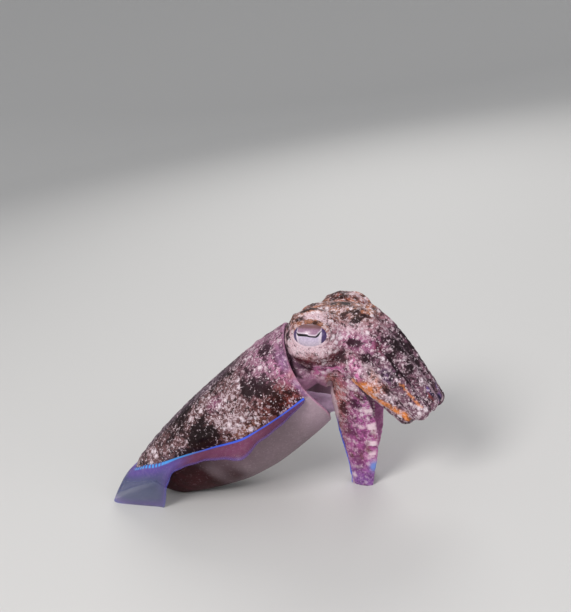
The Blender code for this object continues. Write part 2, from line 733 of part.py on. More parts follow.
def buildArm(number, side, materials, collection, rng):
    direction = armPath(number, side)[1]
    rings = armSkin(number, side)
    for half, part in (("base", slice(0, armSplit + 1)), ("tip", slice(armSplit, None))):
        length = rings[part].copy()
        if half == "tip":
            length[0] += armCutGap * direction[armSplit]
        length[..., 2] = np.maximum(length[..., 2], 0.0)
        name = "arm_{}_{}_{}".format(number, "left" if side > 0 else "right", half)
        arm = addMesh(name, *loft(length), materials["arm_skin"], collection)
        suckers = suckerMeshes(number, side, half, collection, rng)
        if suckers:
            applyBoolean(arm, "UNION", suckers, collection)


def main():
    clearScene()
    parts = makeCollection("broadclub cuttlefish")
    materials = {
        "mantle_skin": makeMaterial("mantle_skin", (0.16, 0.08, 0.07), 0.5),
        "head_skin": makeMaterial("head_skin", (0.30, 0.16, 0.15), 0.5),
        "arm_skin": makeMaterial("arm_skin", (0.20, 0.10, 0.11), 0.5),
        "fin_membrane": makeMaterial("fin_membrane", (0.36, 0.26, 0.50), 0.35),
        "funnel_skin": makeMaterial("funnel_skin", (0.60, 0.52, 0.62), 0.45),
        "eye_gloss": makeMaterial("eye_gloss", (0.70, 0.68, 0.78), 0.08),
    }
    rng = np.random.default_rng(7)
    buildMantle(materials, parts)
    buildFunnel(materials, parts)
    buildHead(materials, parts)
    for side, word in ((-1, "right"), (1, "left")):
        buildFin("fin_" + word, side, materials, parts)
        buildEye("eye_" + word, side, materials, parts)
        for number in armSpecs:
            buildArm(number, side, materials, parts, rng)


main()
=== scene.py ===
import math
import bpy
import numpy as np
from mathutils import Matrix


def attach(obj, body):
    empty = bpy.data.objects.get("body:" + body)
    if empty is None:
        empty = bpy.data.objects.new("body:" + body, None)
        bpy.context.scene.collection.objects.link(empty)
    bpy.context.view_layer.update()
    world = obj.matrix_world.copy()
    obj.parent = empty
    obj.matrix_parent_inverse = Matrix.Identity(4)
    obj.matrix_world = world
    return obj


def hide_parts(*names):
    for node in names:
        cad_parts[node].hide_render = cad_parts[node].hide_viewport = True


# Broadclub cuttlefish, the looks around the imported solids. Metres, +X towards the head, +Z up.

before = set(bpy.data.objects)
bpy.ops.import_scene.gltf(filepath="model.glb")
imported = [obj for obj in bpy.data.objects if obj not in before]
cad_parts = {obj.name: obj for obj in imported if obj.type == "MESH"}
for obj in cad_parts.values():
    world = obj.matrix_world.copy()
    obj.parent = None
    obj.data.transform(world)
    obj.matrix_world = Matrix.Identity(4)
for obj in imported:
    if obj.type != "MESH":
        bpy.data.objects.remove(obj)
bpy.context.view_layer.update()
print("frame loaded")


# Small tools

def unit(v):
    v = np.asarray(v, float)
    return v / np.linalg.norm(v, axis=-1, keepdims=True)


def squareTo(direction, v):  # what of v stands at right angles to a direction, as a unit vector
    return unit(v - direction * np.sum(v * direction, axis=-1, keepdims=True))


def lengths(vectors):
    return np.linalg.norm(vectors, axis=-1)


def ease(at, knots, values):  # smooth curve through a few named sizes, with no overshoot
    knots, values = np.asarray(knots, float), np.asarray(values, float)
    rise = np.diff(values) / np.diff(knots)
    slope = np.empty_like(values)
    slope[0], slope[-1] = rise[0], rise[-1]
    product = rise[:-1] * rise[1:]
    slope[1:-1] = np.where(product > 0, 2 * product / np.where(product > 0, rise[:-1] + rise[1:], 1.0), 0.0)
    at = np.clip(at, knots[0], knots[-1])
    cell = np.clip(np.searchsorted(knots, at, side="right") - 1, 0, len(knots) - 2)
    span = knots[cell + 1] - knots[cell]
    t = (at - knots[cell]) / span
    return ((2 * t**3 - 3 * t**2 + 1) * values[cell] + (t**3 - 2 * t**2 + t) * span * slope[cell]
            + (3 * t**2 - 2 * t**3) * values[cell + 1] + (t**3 - t**2) * span * slope[cell + 1])


def easeColumns(at, knots, table):  # the same for each column of a table
    return [ease(at, knots, column) for column in np.transpose(table)]


def bezier(points, t):
    a, b, c, d = (np.asarray(p, float) for p in points)
    t = np.asarray(t)[:, None]
    return (1 - t)**3 * a + 3 * (1 - t)**2 * t * b + 3 * (1 - t) * t**2 * c + t**3 * d


def signedPower(x, power):
    return np.sign(x) * np.abs(x)**power


def step(x, low, high):  # 0 below low, 1 above high, smooth between
    t = np.clip((x - low) / (high - low), 0, 1)
    return t * t * (3 - 2 * t)


def bell(x, middle, width):
    return np.exp(-((x - middle) / width)**2)


def around(count):  # the angles of a closed ring of points
    return np.linspace(0, 2 * math.pi, count, endpoint=False)


def lumps(points, size, seed, waves=9):  # -1 to 1: a few plane waves in random directions, summed
    rng = np.random.default_rng(seed)
    directions = unit(rng.normal(size=(waves, 3)))
    total = np.zeros(points.shape[:-1])
    for direction in directions:
        bend = 0.6 * np.sin(points @ unit(rng.normal(size=3)) * 2.3 / size + rng.random() * 6.28)
        total += np.sin(points @ direction * 2 * math.pi / (size * (0.8 + 0.6 * rng.random())) + bend
                        + rng.random() * 6.28)
    return total / waves * 1.8


# The animal's own directions

body = {"shift": (0.0046, 0.0015, 0.0), "pitch": 33.5, "tailTip": (-0.0987, 0.0, 0.0215), "length": 0.144,
        "headPoint": (0.0471, -0.0060, 0.1052), "headTurn": 26.0, "headRoll": 5.0}
shift = np.array(body["shift"])
pitch, turn, roll = (math.radians(body[key]) for key in ("pitch", "headTurn", "headRoll"))
tailTip = np.array(body["tailTip"]) + shift
headPoint = np.array(body["headPoint"]) + shift
mantleAxis = np.array([math.cos(pitch), 0.0, math.sin(pitch)])
mantleUp = np.array([-math.sin(pitch), 0.0, math.cos(pitch)])
sideways = np.array([0.0, 1.0, 0.0])
upward = np.array([0.0, 0.0, 1.0])
headForward = np.array([math.cos(turn), -math.sin(turn), 0.0])
levelLeft = np.array([math.sin(turn), math.cos(turn), 0.0])
headLeft = math.cos(roll) * levelLeft - math.sin(roll) * upward
headUp = math.cos(roll) * upward + math.sin(roll) * levelLeft


def inMantle(s, y, n):
    s, y, n = (np.asarray(v, float)[..., None] for v in (s, y, n))
    return tailTip + s * mantleAxis + y * sideways + n * mantleUp


def inHead(f, left, up):
    f, left, up = (np.asarray(v, float)[..., None] for v in (f, left, up))
    return headPoint + f * headForward + left * headLeft + up * headUp


# Meshes

def gridFaces(rows, columns, wrap=True, first=0):  # four-sided faces between rows of points
    i, j = np.meshgrid(np.arange(rows - 1), np.arange(columns if wrap else columns - 1), indexing="ij")
    k = (j + 1) % columns
    return np.stack([i * columns + j, i * columns + k, (i + 1) * columns + k, (i + 1) * columns + j],
                    axis=-1).reshape(-1, 4) + first


def closedTube(rings):  # points, four-sided and three-sided faces of rings closed by a point at each end
    rows, columns = rings.shape[:2]
    points = np.vstack([rings.reshape(-1, 3), rings[0].mean(axis=0), rings[-1].mean(axis=0)])
    j = np.arange(columns)
    k = (j + 1) % columns
    last = (rows - 1) * columns
    ends = np.vstack([np.stack([k, j, np.full(columns, rows * columns)], axis=1),
                      np.stack([last + j, last + k, np.full(columns, rows * columns + 1)], axis=1)])
    return points, gridFaces(rows, columns), ends


def carried(centre, across, above, wide, high):  # rings round a path: each point goes wide across, high above
    return centre[:, None] + wide[..., None] * across[:, None] + high[..., None] * above[:, None]


def joined(parts):  # one set of points and faces from several
    points, quads, threes, count = [], [], [], 0
    for p, q, t in parts:
        points.append(p)
        quads.append(q + count)
        threes.append(t + count)
        count += len(p)
    return np.vstack(points), np.vstack(quads), np.vstack(threes)


def rawMesh(name, points, quads, threes):
    mesh = bpy.data.meshes.new(name)
    loops = np.concatenate([quads.ravel(), threes.ravel()]).astype(np.int32)
    starts = np.concatenate([np.arange(len(quads)) * 4, len(quads) * 4 + np.arange(len(threes)) * 3])
    mesh.vertices.add(len(points))
    mesh.vertices.foreach_set("co", np.asarray(points, np.float32).ravel())
    mesh.loops.add(len(loops))
    mesh.loops.foreach_set("vertex_index", loops)
    mesh.polygons.add(len(starts))
    mesh.polygons.foreach_set("loop_start", starts.astype(np.int32))
    mesh.update(calc_edges=True)
    mesh.validate()
    return mesh


def outwards(mesh):  # turns the faces round if the closed surface holds a negative volume
    mesh.calc_loop_triangles()
    points, corners = readPoints(mesh), readArray(mesh.loop_triangles, "vertices", np.int32, 3)
    a, b, c = (points[corners[:, k]] for k in range(3))
    if np.sum(a * np.cross(b, c)) < 0:
        mesh.flip_normals()
    return mesh


def readArray(items, field, kind, width):
    values = np.empty(len(items) * width, kind)
    items.foreach_get(field, values)
    return values.reshape(-1, width)


def readPoints(mesh):
    return readArray(mesh.vertices, "co", np.float32, 3).astype(float)


def readNormals(mesh):
    return readArray(mesh.vertex_normals, "vector", np.float32, 3).astype(float)


def writePoints(mesh, points):
    mesh.vertices.foreach_set("co", np.asarray(points, np.float32).ravel())
    mesh.update()


def relax(points, edges, weight, rounds, keep=False):  # moves each point towards its neighbours' middle
    count = len(points)
    both = np.concatenate([edges, edges[:, ::-1]])
    valence = np.maximum(np.bincount(both[:, 0], minlength=count), 1)[:, None]
    for k in range(rounds):
        middle = np.stack([np.bincount(both[:, 0], weights=points[both[:, 1], axis], minlength=count)
                           for axis in range(3)], axis=1) / valence
        force = -0.53 if keep and k % 2 else 0.5
        points = points + force * weight[:, None] * (middle - points)
    return points


def placed(name, data):
    thing = bpy.data.objects.new(name, data)
    bpy.context.scene.collection.objects.link(thing)
    return thing


def finishPiece(name, mesh, material, slot, nodes=(), **fields):
    for field, values in fields.items():
        values = np.asarray(values, np.float32)
        if values.ndim == 1:
            mesh.attributes.new(field, "FLOAT", "POINT").data.foreach_set("value", values)
        else:
            rgba = np.concatenate([values, np.ones((len(values), 1), np.float32)], axis=1)
            mesh.attributes.new(field, "FLOAT_COLOR", "POINT").data.foreach_set("color", rgba.ravel())
    mesh.shade_smooth()
    mesh.materials.clear()
    mesh.materials.append(material)
    piece = placed(name, mesh)
    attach(piece, "root")
    if nodes:
        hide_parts(*nodes)
    print("made", name, len(mesh.polygons), "faces")
    return piece


# Colours and materials

def palette(**screen):  # colours as screen values 0 to 255, turned to the shader's linear scale
    shares = {name: np.array(values) / 255.0 for name, values in screen.items()}
    return {name: np.where(c <= 0.04045, c / 12.92, ((c + 0.055) / 1.055)**2.4) for name, c in shares.items()}


skinColours = palette(
    back=(112, 80, 82), backFront=(166, 116, 142), spine=(88, 68, 84), rust=(132, 54, 46),
    # belly, collar and tailBelly are set darker as painted shade of the under side; tailBelly is also the
    # skin's reddish-brown near the tail
    dark=(44, 24, 30), belly=(138, 119, 126), collar=(176, 152, 164), tailBelly=(46, 10, 14),
    head=(164, 118, 128), crown=(130, 90, 78), cream=(228, 194, 204), band=(84, 20, 34),
    # funnel: a pale lavender brightened into a painted highlight
    magenta=(228, 130, 186), chin=(206, 144, 170), neck=(158, 118, 166), funnel=(232, 200, 232),
    arm=(118, 82, 98), armPink=(182, 94, 158), armBrown=(200, 122, 118), inner=(190, 160, 174),
    orange=(228, 136, 66), blue=(70, 104, 232), sky=(84, 160, 236), violet=(104, 84, 158),
    # the green-grey at the end of the next line is painted shade, seen through the thin fin near the tail
    maroon=(122, 68, 98), palePink=(240, 214, 224), lid=(156, 98, 66), teal=(88, 104, 128),
)


def evenly(name, count, colours=skinColours):
    return np.tile(colours[name], (count, 1))


def blendColours(tint, *layers, colours=skinColours):  # each layer is a colour's name and its mask
    for name, mask in layers:
        mask = np.clip(mask, 0, 1)[:, None]
        tint = tint * (1 - mask) + colours[name] * mask
    return tint


def node(tree, kind, inputs=(), **settings):
    made = tree.nodes.new(kind)
    for key, value in settings.items():
        setattr(made, key, value)
    for key, value in dict(inputs).items():
        socket = made.inputs[key]
        if isinstance(value, bpy.types.NodeSocket):
            tree.links.new(value, socket)
        else:
            socket.default_value = value
    return made


def sums(tree, operation, a, b=None, c=None):
    values = {k: v for k, v in enumerate((a, b, c)) if v is not None}
    return node(tree, "ShaderNodeMath", values, operation=operation).outputs[0]


def ramp(tree, value, low, high):
    return node(tree, "ShaderNodeMapRange", {"Value": value, "From Min": low, "From Max": high},
                interpolation_type="SMOOTHSTEP").outputs[0]


def mixColour(tree, factor, a, b, blend="MIX"):
    return node(tree, "ShaderNodeMix", {0: factor, 6: a, 7: b}, data_type="RGBA", blend_type=blend).outputs[2]


def attribute(tree, name, output="Fac"):
    return node(tree, "ShaderNodeAttribute", attribute_name=name).outputs[output]


def newMaterial(name, values):  # a material, its tree and its shader with the values that are even all over
    made = bpy.data.materials.new(name)
    made.use_nodes = True
    shader = made.node_tree.nodes["Principled BSDF"]
    for socket, value in values.items():
        shader.inputs[socket].default_value = value
    return made, made.node_tree, shader


# scales of the noises, how strongly each kind of mark covers the skin, and the marks' own tints
flecks = {
    "warpScale": 330.0, "broadScale": 95.0, "lightScale": 490.0, "shadeScale": 320.0, "grainScale": 1500.0,
    "base": 0.97, "dark": 0.86, "pale": 0.80, "large": 0.88, "grain": 0.50, "small": 0.85,
    "darkTint": (0.055, 0.034, 0.045, 1), "paleTint": (0.82, 0.65, 0.71, 1), "whiteTint": (0.92, 0.79, 0.85, 1),
}


def makeMottleGroup():
    # living skin over a tint: broad shade, dark and pale flecks, rounded pale spots, grain and the bump
    group = bpy.data.node_groups.new("mottle", "ShaderNodeTree")
    for socket, kind, value in (("Tint", "NodeSocketColor", (0.3, 0.2, 0.2, 1)),
                                ("Tone", "NodeSocketFloat", 0.0), ("Strength", "NodeSocketFloat", 1.0),
                                ("Spot Size", "NodeSocketFloat", 0.0045)):
        group.interface.new_socket(name=socket, in_out="INPUT", socket_type=kind).default_value = value
    for socket, kind in (("Color", "NodeSocketColor"), ("Height", "NodeSocketFloat")):
        group.interface.new_socket(name=socket, in_out="OUTPUT", socket_type=kind)
    source, out = group.nodes.new("NodeGroupInput"), group.nodes.new("NodeGroupOutput")
    tint, toneIn = source.outputs["Tint"], source.outputs["Tone"]
    place = node(group, "ShaderNodeTexCoord").outputs["Object"]

    def noise(where, scale, detail, roughness, distortion=0.0):
        return node(group, "ShaderNodeTexNoise", {"Vector": where, "Scale": flecks[scale], "Detail": detail,
                                                  "Roughness": roughness, "Distortion": distortion})

    warp = noise(place, "warpScale", 2.0, 0.5).outputs["Color"]
    warp = node(group, "ShaderNodeVectorMath", {0: warp, 1: (0.5, 0.5, 0.5)}, operation="SUBTRACT").outputs[0]
    bent, tight = (node(group, "ShaderNodeVectorMath", {0: warp, 1: (much, much, much), 2: place},
                        operation="MULTIPLY_ADD").outputs[0] for much in (0.0034, 0.0009))
    aside = node(group, "ShaderNodeVectorMath", {0: place, 1: (0.31, 0.17, 0.23)}, operation="ADD").outputs[0]
    broad = noise(place, "broadScale", 5.0, 0.62).outputs[0]
    light = noise(place, "lightScale", 4.0, 0.68, 0.5).outputs[0]
    shade = noise(aside, "shadeScale", 4.0, 0.65, 0.8).outputs[0]
    grain = noise(place, "grainScale", 2.0, 0.6).outputs[0]
    tone = sums(group, "MULTIPLY_ADD", sums(group, "SUBTRACT", broad, 0.5), 2.6, toneIn)

    def spots(where, size, chanceBase, chanceSlope, rim, core):  # dots: on where a cell's number is low enough
        made = node(group, "ShaderNodeTexVoronoi", {"Vector": where, "Scale": size, "Randomness": 1.0})
        number = node(group, "ShaderNodeSeparateColor", {"Color": made.outputs["Color"]}).outputs[0]
        chance = sums(group, "MULTIPLY_ADD", tone, chanceSlope, chanceBase)
        return sums(group, "MULTIPLY", ramp(group, made.outputs["Distance"], rim, core),
                    ramp(group, sums(group, "SUBTRACT", chance, number), -0.04, 0.06))

    large = spots(bent, sums(group, "DIVIDE", 1.0, source.outputs["Spot Size"]), 0.08, 0.62, 0.54, 0.22)
    small = spots(tight, sums(group, "DIVIDE", 3.3, source.outputs["Spot Size"]), 0.15, 0.13, 0.50, 0.16)
    paleFleck = ramp(group, sums(group, "MULTIPLY_ADD", tone, 0.075, light), 0.525, 0.605)
    darkFleck = ramp(group, sums(group, "MULTIPLY_ADD", tone, -0.100, shade), 0.480, 0.570)
    dark = mixColour(group, 1.0, tint, flecks["darkTint"], "MULTIPLY")
    pale = mixColour(group, 0.70, tint, flecks["paleTint"])
    white = mixColour(group, 0.90, tint, flecks["whiteTint"])
    now = tint
    for mask, share, over in ((ramp(group, tone, 0.10, -0.70), "base", dark), (darkFleck, "dark", dark),
                              (paleFleck, "pale", pale), (large, "large", white),
                              (ramp(group, grain, 0.52, 0.66), "grain", dark), (small, "small", white)):
        now = mixColour(group, sums(group, "MULTIPLY", mask, flecks[share]), now, over)
    now = mixColour(group, source.outputs["Strength"], tint, now)
    height = sums(group, "MULTIPLY_ADD", light, 0.7, sums(group, "MULTIPLY", grain, 0.35))
    height = sums(group, "MULTIPLY_ADD", large, 0.35, sums(group, "MULTIPLY_ADD", small, 0.18, height))
    group.links.new(now, out.inputs["Color"])
    group.links.new(height, out.inputs["Height"])
    return group


mottle = makeMottleGroup()
looks = {  # what each material's shader is given; "all" is shared by the skins
    "all": {"Specular IOR Level": 0.12, "Coat Roughness": 0.3, "Subsurface Radius": (0.002, 0.001, 0.001),
            "Subsurface Scale": 1.0},
    "mantle": {"spotSize": 0.0046, "bump": 0.60, "roughness": 0.56, "coat": 0.05, "flesh": 0.02},
    "head": {"spotSize": 0.0039, "bump": 0.60, "roughness": 0.54, "coat": 0.05, "flesh": 0.02},
    "fin": {"spotSize": 0.0050, "bump": 0.12, "roughness": 0.45, "coat": 0.10, "flesh": 0.05, "thin": True},
    "eye": {"Roughness": 0.30, "Coat Weight": 0.12, "Coat Roughness": 0.03},
    "floor": {"Base Color": (0.62, 0.61, 0.60, 1), "Roughness": 0.8},
}


def skinMaterial(name, look):
    made, tree, shader = newMaterial(name, dict(looks["all"], **{
        "Roughness": look["roughness"], "Coat Weight": look["coat"], "Subsurface Weight": look["flesh"]}))
    skin = node(tree, "ShaderNodeGroup", {
        "Tint": attribute(tree, "tint", "Color"), "Tone": attribute(tree, "tone"),
        "Strength": attribute(tree, "strength"), "Spot Size": look["spotSize"]}, node_tree=mottle)
    bump = node(tree, "ShaderNodeBump", {"Strength": look["bump"], "Distance": 0.0006,
                                         "Height": skin.outputs["Height"]})
    tree.links.new(skin.outputs["Color"], shader.inputs["Base Color"])
    tree.links.new(bump.outputs[0], shader.inputs["Normal"])
    if look.get("thin"):
        tree.links.new(attribute(tree, "solidity"), shader.inputs["Alpha"])
    return made


mantleMaterial = skinMaterial("mantle_skin_look", looks["mantle"])
headMaterial = skinMaterial("head_skin_look", looks["head"])
finMaterial = skinMaterial("fin_membrane_look", looks["fin"])


# Mantle

mantle = {
    "rows": 260, "columns": 260, "crowding": 1.7, "backRoundness": 0.95, "bellyRoundness": 0.85,
    "marginBack": 1.0, "marginSide": 0.945, "marginBelly": 0.87,
    "openingFloor": 0.1235, "openingTilt": 0.30, "openingCentre": -0.0247,
    "papillaShares": (0.22, 0.33, 0.44, 0.56, 0.68, 0.80), "papillaAngle": 20.0, "papillaRise": 0.0011,
    "lumpRise": 0.00028,
    # the skin rolled over the margin: scale and distance back, then the scales of what closes the opening
    "roll": ((0.991, -0.0004), (0.980, -0.0006), (0.966, -0.0006), (0.950, -0.0003), (0.935, 0.0003),
             (0.922, 0.0014), (0.91, 0.003), (0.89, 0.006), (0.87, 0.009)),
    "plug": (0.86, 0.6, 0.3),
    # share of the length, half width, height of the back, of the belly and of the fin line
    "stations": ((0.00, 0.0000, 0.0000, 0.0000, 0.0000), (0.08, 0.0115, 0.0044, -0.0340, -0.0006),
                 (0.16, 0.0180, 0.0064, -0.0403, -0.0035), (0.30, 0.0248, 0.0087, -0.0492, -0.0085),
                 (0.45, 0.0302, 0.0101, -0.0556, -0.0150), (0.62, 0.0338, 0.0107, -0.0580, -0.0228),
                 (0.82, 0.0352, 0.0106, -0.0572, -0.0258), (1.00, 0.0338, 0.0078, -0.0545, -0.0268)),
    # large patches: share of the length, angle over the fin line, half sizes, how pale (+) or dark (-)
    "patches": ((0.60, 34, 0.070, 20, 0.84), (0.54, 62, 0.050, 14, 0.55), (0.62, 13, 0.070, 8, 0.60),
                (0.71, 54, 0.035, 12, 0.60), (0.79, 36, 0.048, 12, -1.10), (0.74, 44, 0.030, 8, -0.60),
                (0.84, 11, 0.060, 11, -0.55), (0.45, 21, 0.068, 16, -2.30), (0.36, 10, 0.050, 9, -0.70),
                (0.51, 45, 0.030, 6, -0.45), (0.31, 44, 0.050, 9, -0.50), (0.26, 52, 0.040, 9, 0.35),
                # the last patch on the next line, at 0.80 of the length and 78 degrees, is a painted highlight
                # on the top front
                (0.17, 30, 0.060, 16, 0.20), (0.90, 64, 0.030, 10, -0.80), (0.80, 78, 0.060, 9, 0.45),
                (0.86, 50, 0.045, 12, 0.45), (0.93, 34, 0.030, 12, -0.25), (0.68, 76, 0.050, 8, -0.35),
                (0.40, 70, 0.120, 12, -0.60)),
}


def mantleSizes(share):  # half width, back, belly and fin line
    table = np.array(mantle["stations"])
    return easeColumns(np.sqrt(np.clip(share, 0.0, 1.0)), np.sqrt(table[:, 0]), table[:, 1:])


def mantleSection(share, angle):
    width, back, belly, line = mantleSizes(share)
    over = np.sin(angle) > 0
    power = np.where(over, mantle["backRoundness"], mantle["bellyRoundness"])
    height = np.where(over, back - line, line - belly)
    return width * signedPower(np.cos(angle), power), line + height * signedPower(np.sin(angle), power)


def marginShare(angle):
    rise = np.sin(angle)
    top = (mantle["marginBack"] - mantle["marginSide"]) * np.clip(rise, 0, 1)**2
    bottom = (mantle["marginSide"] - mantle["marginBelly"]) * np.clip(-rise, 0, 1)**4
    return mantle["marginSide"] + top - bottom


def openingPoint(y, n, lift=0.0):
    return inMantle(mantle["openingFloor"] + mantle["openingTilt"] * (n - mantle["openingCentre"]) + lift, y, n)


def mantleCoordinates(points):  # share of the length and angle over the fin line, to 90 degrees on the back
    offset = points - tailTip
    share = np.clip(offset @ mantleAxis / body["length"], 0, 1)
    width, back, belly, line = mantleSizes(share)
    y, n = offset @ sideways, offset @ mantleUp - line
    height = np.where(n > 0, back - line, line - belly)
    return share, np.degrees(np.arctan2(n / np.maximum(height, 1e-4), np.abs(y) / np.maximum(width, 1e-4)))


def buildMantle():
    # rings of the section at crowded shares of the length, rolled over the front margin into the opening
    angle = around(mantle["columns"])
    along = np.linspace(0, 1, mantle["rows"] + 1)[1:, None]**mantle["crowding"]
    margin = marginShare(angle)
    share = along * margin
    y, n = mantleSection(share, angle)
    rings = list(inMantle(share * body["length"], y, n))
    yEdge, nEdge = y[-1], n[-1]
    centre = mantle["openingCentre"]
    for scale, back in mantle["roll"]:
        rings.append(inMantle(margin * body["length"] - back, yEdge * scale, centre + scale * (nEdge - centre)))
    for scale in mantle["plug"]:
        rings.append(openingPoint(yEdge * scale, centre + scale * (nEdge - centre)))
    mesh = outwards(rawMesh("mantle_skin", *closedTube(np.array(rings))))
    points, normals = readPoints(mesh), readNormals(mesh)
    share, over = mantleCoordinates(points)
    facing = np.sum(normals * mantleAxis, axis=1)
    inside = step((points - tailTip) @ mantleAxis, 0.13, 0.135) * step(facing, 0.2, 0.6)
    ridges = sum(bell(share, at, 0.030) * bell(over, mantle["papillaAngle"], 3.6)
                 for at in mantle["papillaShares"])
    upper = step(over, 1, 12) * (1 - inside)
    rise = mantle["papillaRise"] * ridges + mantle["lumpRise"] * upper * (
        lumps(points, 0.0062, 3) + 0.6 * lumps(points, 0.0031, 4))
    points = points + normals * rise[:, None]
    points[:, 2] = np.maximum(points[:, 2], 0.0)
    writePoints(mesh, points)

    above = step(over, -1.5, 1.5)
    ragged, bent = share + 0.016 * lumps(points, 0.0085, 12), over + 4.5 * lumps(points, 0.0075, 13)
    patches = sum(value * bell(ragged, at, wide) * bell(bent, high, tall)
                  for at, high, wide, tall, value in mantle["patches"])
    patches = patches * (1.0 + 0.55 * lumps(points, 0.0052, 14)) + 0.12 * lumps(points, 0.0060, 15)
    wobble = lumps(points, 0.02, 11)
    rearPatch = bell(ragged, 0.45, 0.065) * bell(bent, 21, 15)
    tint = blendColours(
        evenly("back", len(points)),
        ("backFront", step(share, 0.68, 0.90) * step(over, 18, 42)),
        ("spine", 0.85 * step(over, 66, 84) * (1 - 0.8 * step(share, 0.62, 0.84))),
        ("rust", 0.90 * bell(share, 0.84, 0.11) * bell(over, 10, 17)),
        ("rust", 0.75 * bell(share, 0.44, 0.07) * bell(over, 9, 9)),
        ("lid", 0.60 * bell(share, 0.64, 0.10) * bell(over, 5, 6)),
        ("dark", 0.60 * rearPatch),
        ("magenta", 0.55 * bell(share, 0.93, 0.03) * bell(over, 34, 16)),
        ("armPink", 0.30 * bell(share, 0.58, 0.04) * bell(over, 50, 8)))
    # the under side: painted shade keeps the belly darker than its pale skin and darkens it towards the tail,
    # partly the skin's own reddish-brown there
    under = blendColours(
        evenly("belly", len(points)),
        ("tailBelly", step(-share + 0.07 * wobble, -0.52, -0.28)),
        ("band", 0.45 * step(-share + 0.05 * wobble, -0.45, -0.20) * (0.5 + 0.5 * lumps(points, 0.009, 16))),
        # maroon just under the fin line is painted shade of the fin on the belly
        ("maroon", 0.35 * bell(share, 0.5, 0.1) * step(over, -40, -5)),
        ("collar", 0.85 * step(share, 0.76, 0.92)))
    tint = tint * above[:, None] + under * (1 - above[:, None])
    behindRim = 0.7 * above * step(share, 0.915, 0.94) * step(-over, -70, -40)
    rim = np.maximum(step(share, 0.925, 0.96) * step(facing, 0.30, 0.75), behindRim)
    tint = blendColours(tint, ("neck", 0.85 * rim), ("orange", 0.4 * rim * bell(over, 26, 5)),
                        ("chin", inside * 0.6))
    # the under side's tone is lowered, and lowered further towards the tail: painted shade
    tone = (np.maximum(above * (patches - 0.02), -1.15)
            - (1 - above) * (0.15 + 0.45 * step(-share, -0.50, -0.28)))
    strength = 0.09 + 0.87 * above * (1 - rim * 0.7) * (1 - 0.40 * step(over, 72, 88))
    return finishPiece("mantle_skin", mesh, mantleMaterial, "mantle_skin", ("mantle",),
                       tint=tint, tone=tone, strength=strength)


buildMantle()


# Fins

fin = {
    "columns": 420, "rows": 40, "crowding": 1.5, "rootHalf": 0.0009, "edgeHalf": 0.00028, "rootGap": 0.0005,
    "bury": 0.0016, "ruffle": 0.0002, "waves": 75.0, "apart": 0.0003,
    # share of the mantle's length, then how far the margin stands out, drops and sweeps back
    "stations": ((0.000, 0.0030, 0.0215, 0.0200), (0.070, 0.0020, 0.0300, 0.0100),
                 (0.140, 0.0020, 0.0320, 0.0015), (0.220, 0.0070, 0.0130, 0.0020),
                 (0.300, 0.0130, 0.0020, 0.0025), (0.420, 0.0140, 0.0000, 0.0015),
                 (0.520, 0.0130, 0.0030, 0.0010), (0.600, 0.0115, 0.0080, 0.0010),
                 (0.690, 0.0130, 0.0020, 0.0005), (0.780, 0.0115, 0.0010, 0.0000),
                 (0.860, 0.0070, 0.0010, 0.0000), (0.925, 0.0030, 0.0010, 0.0000)),
}


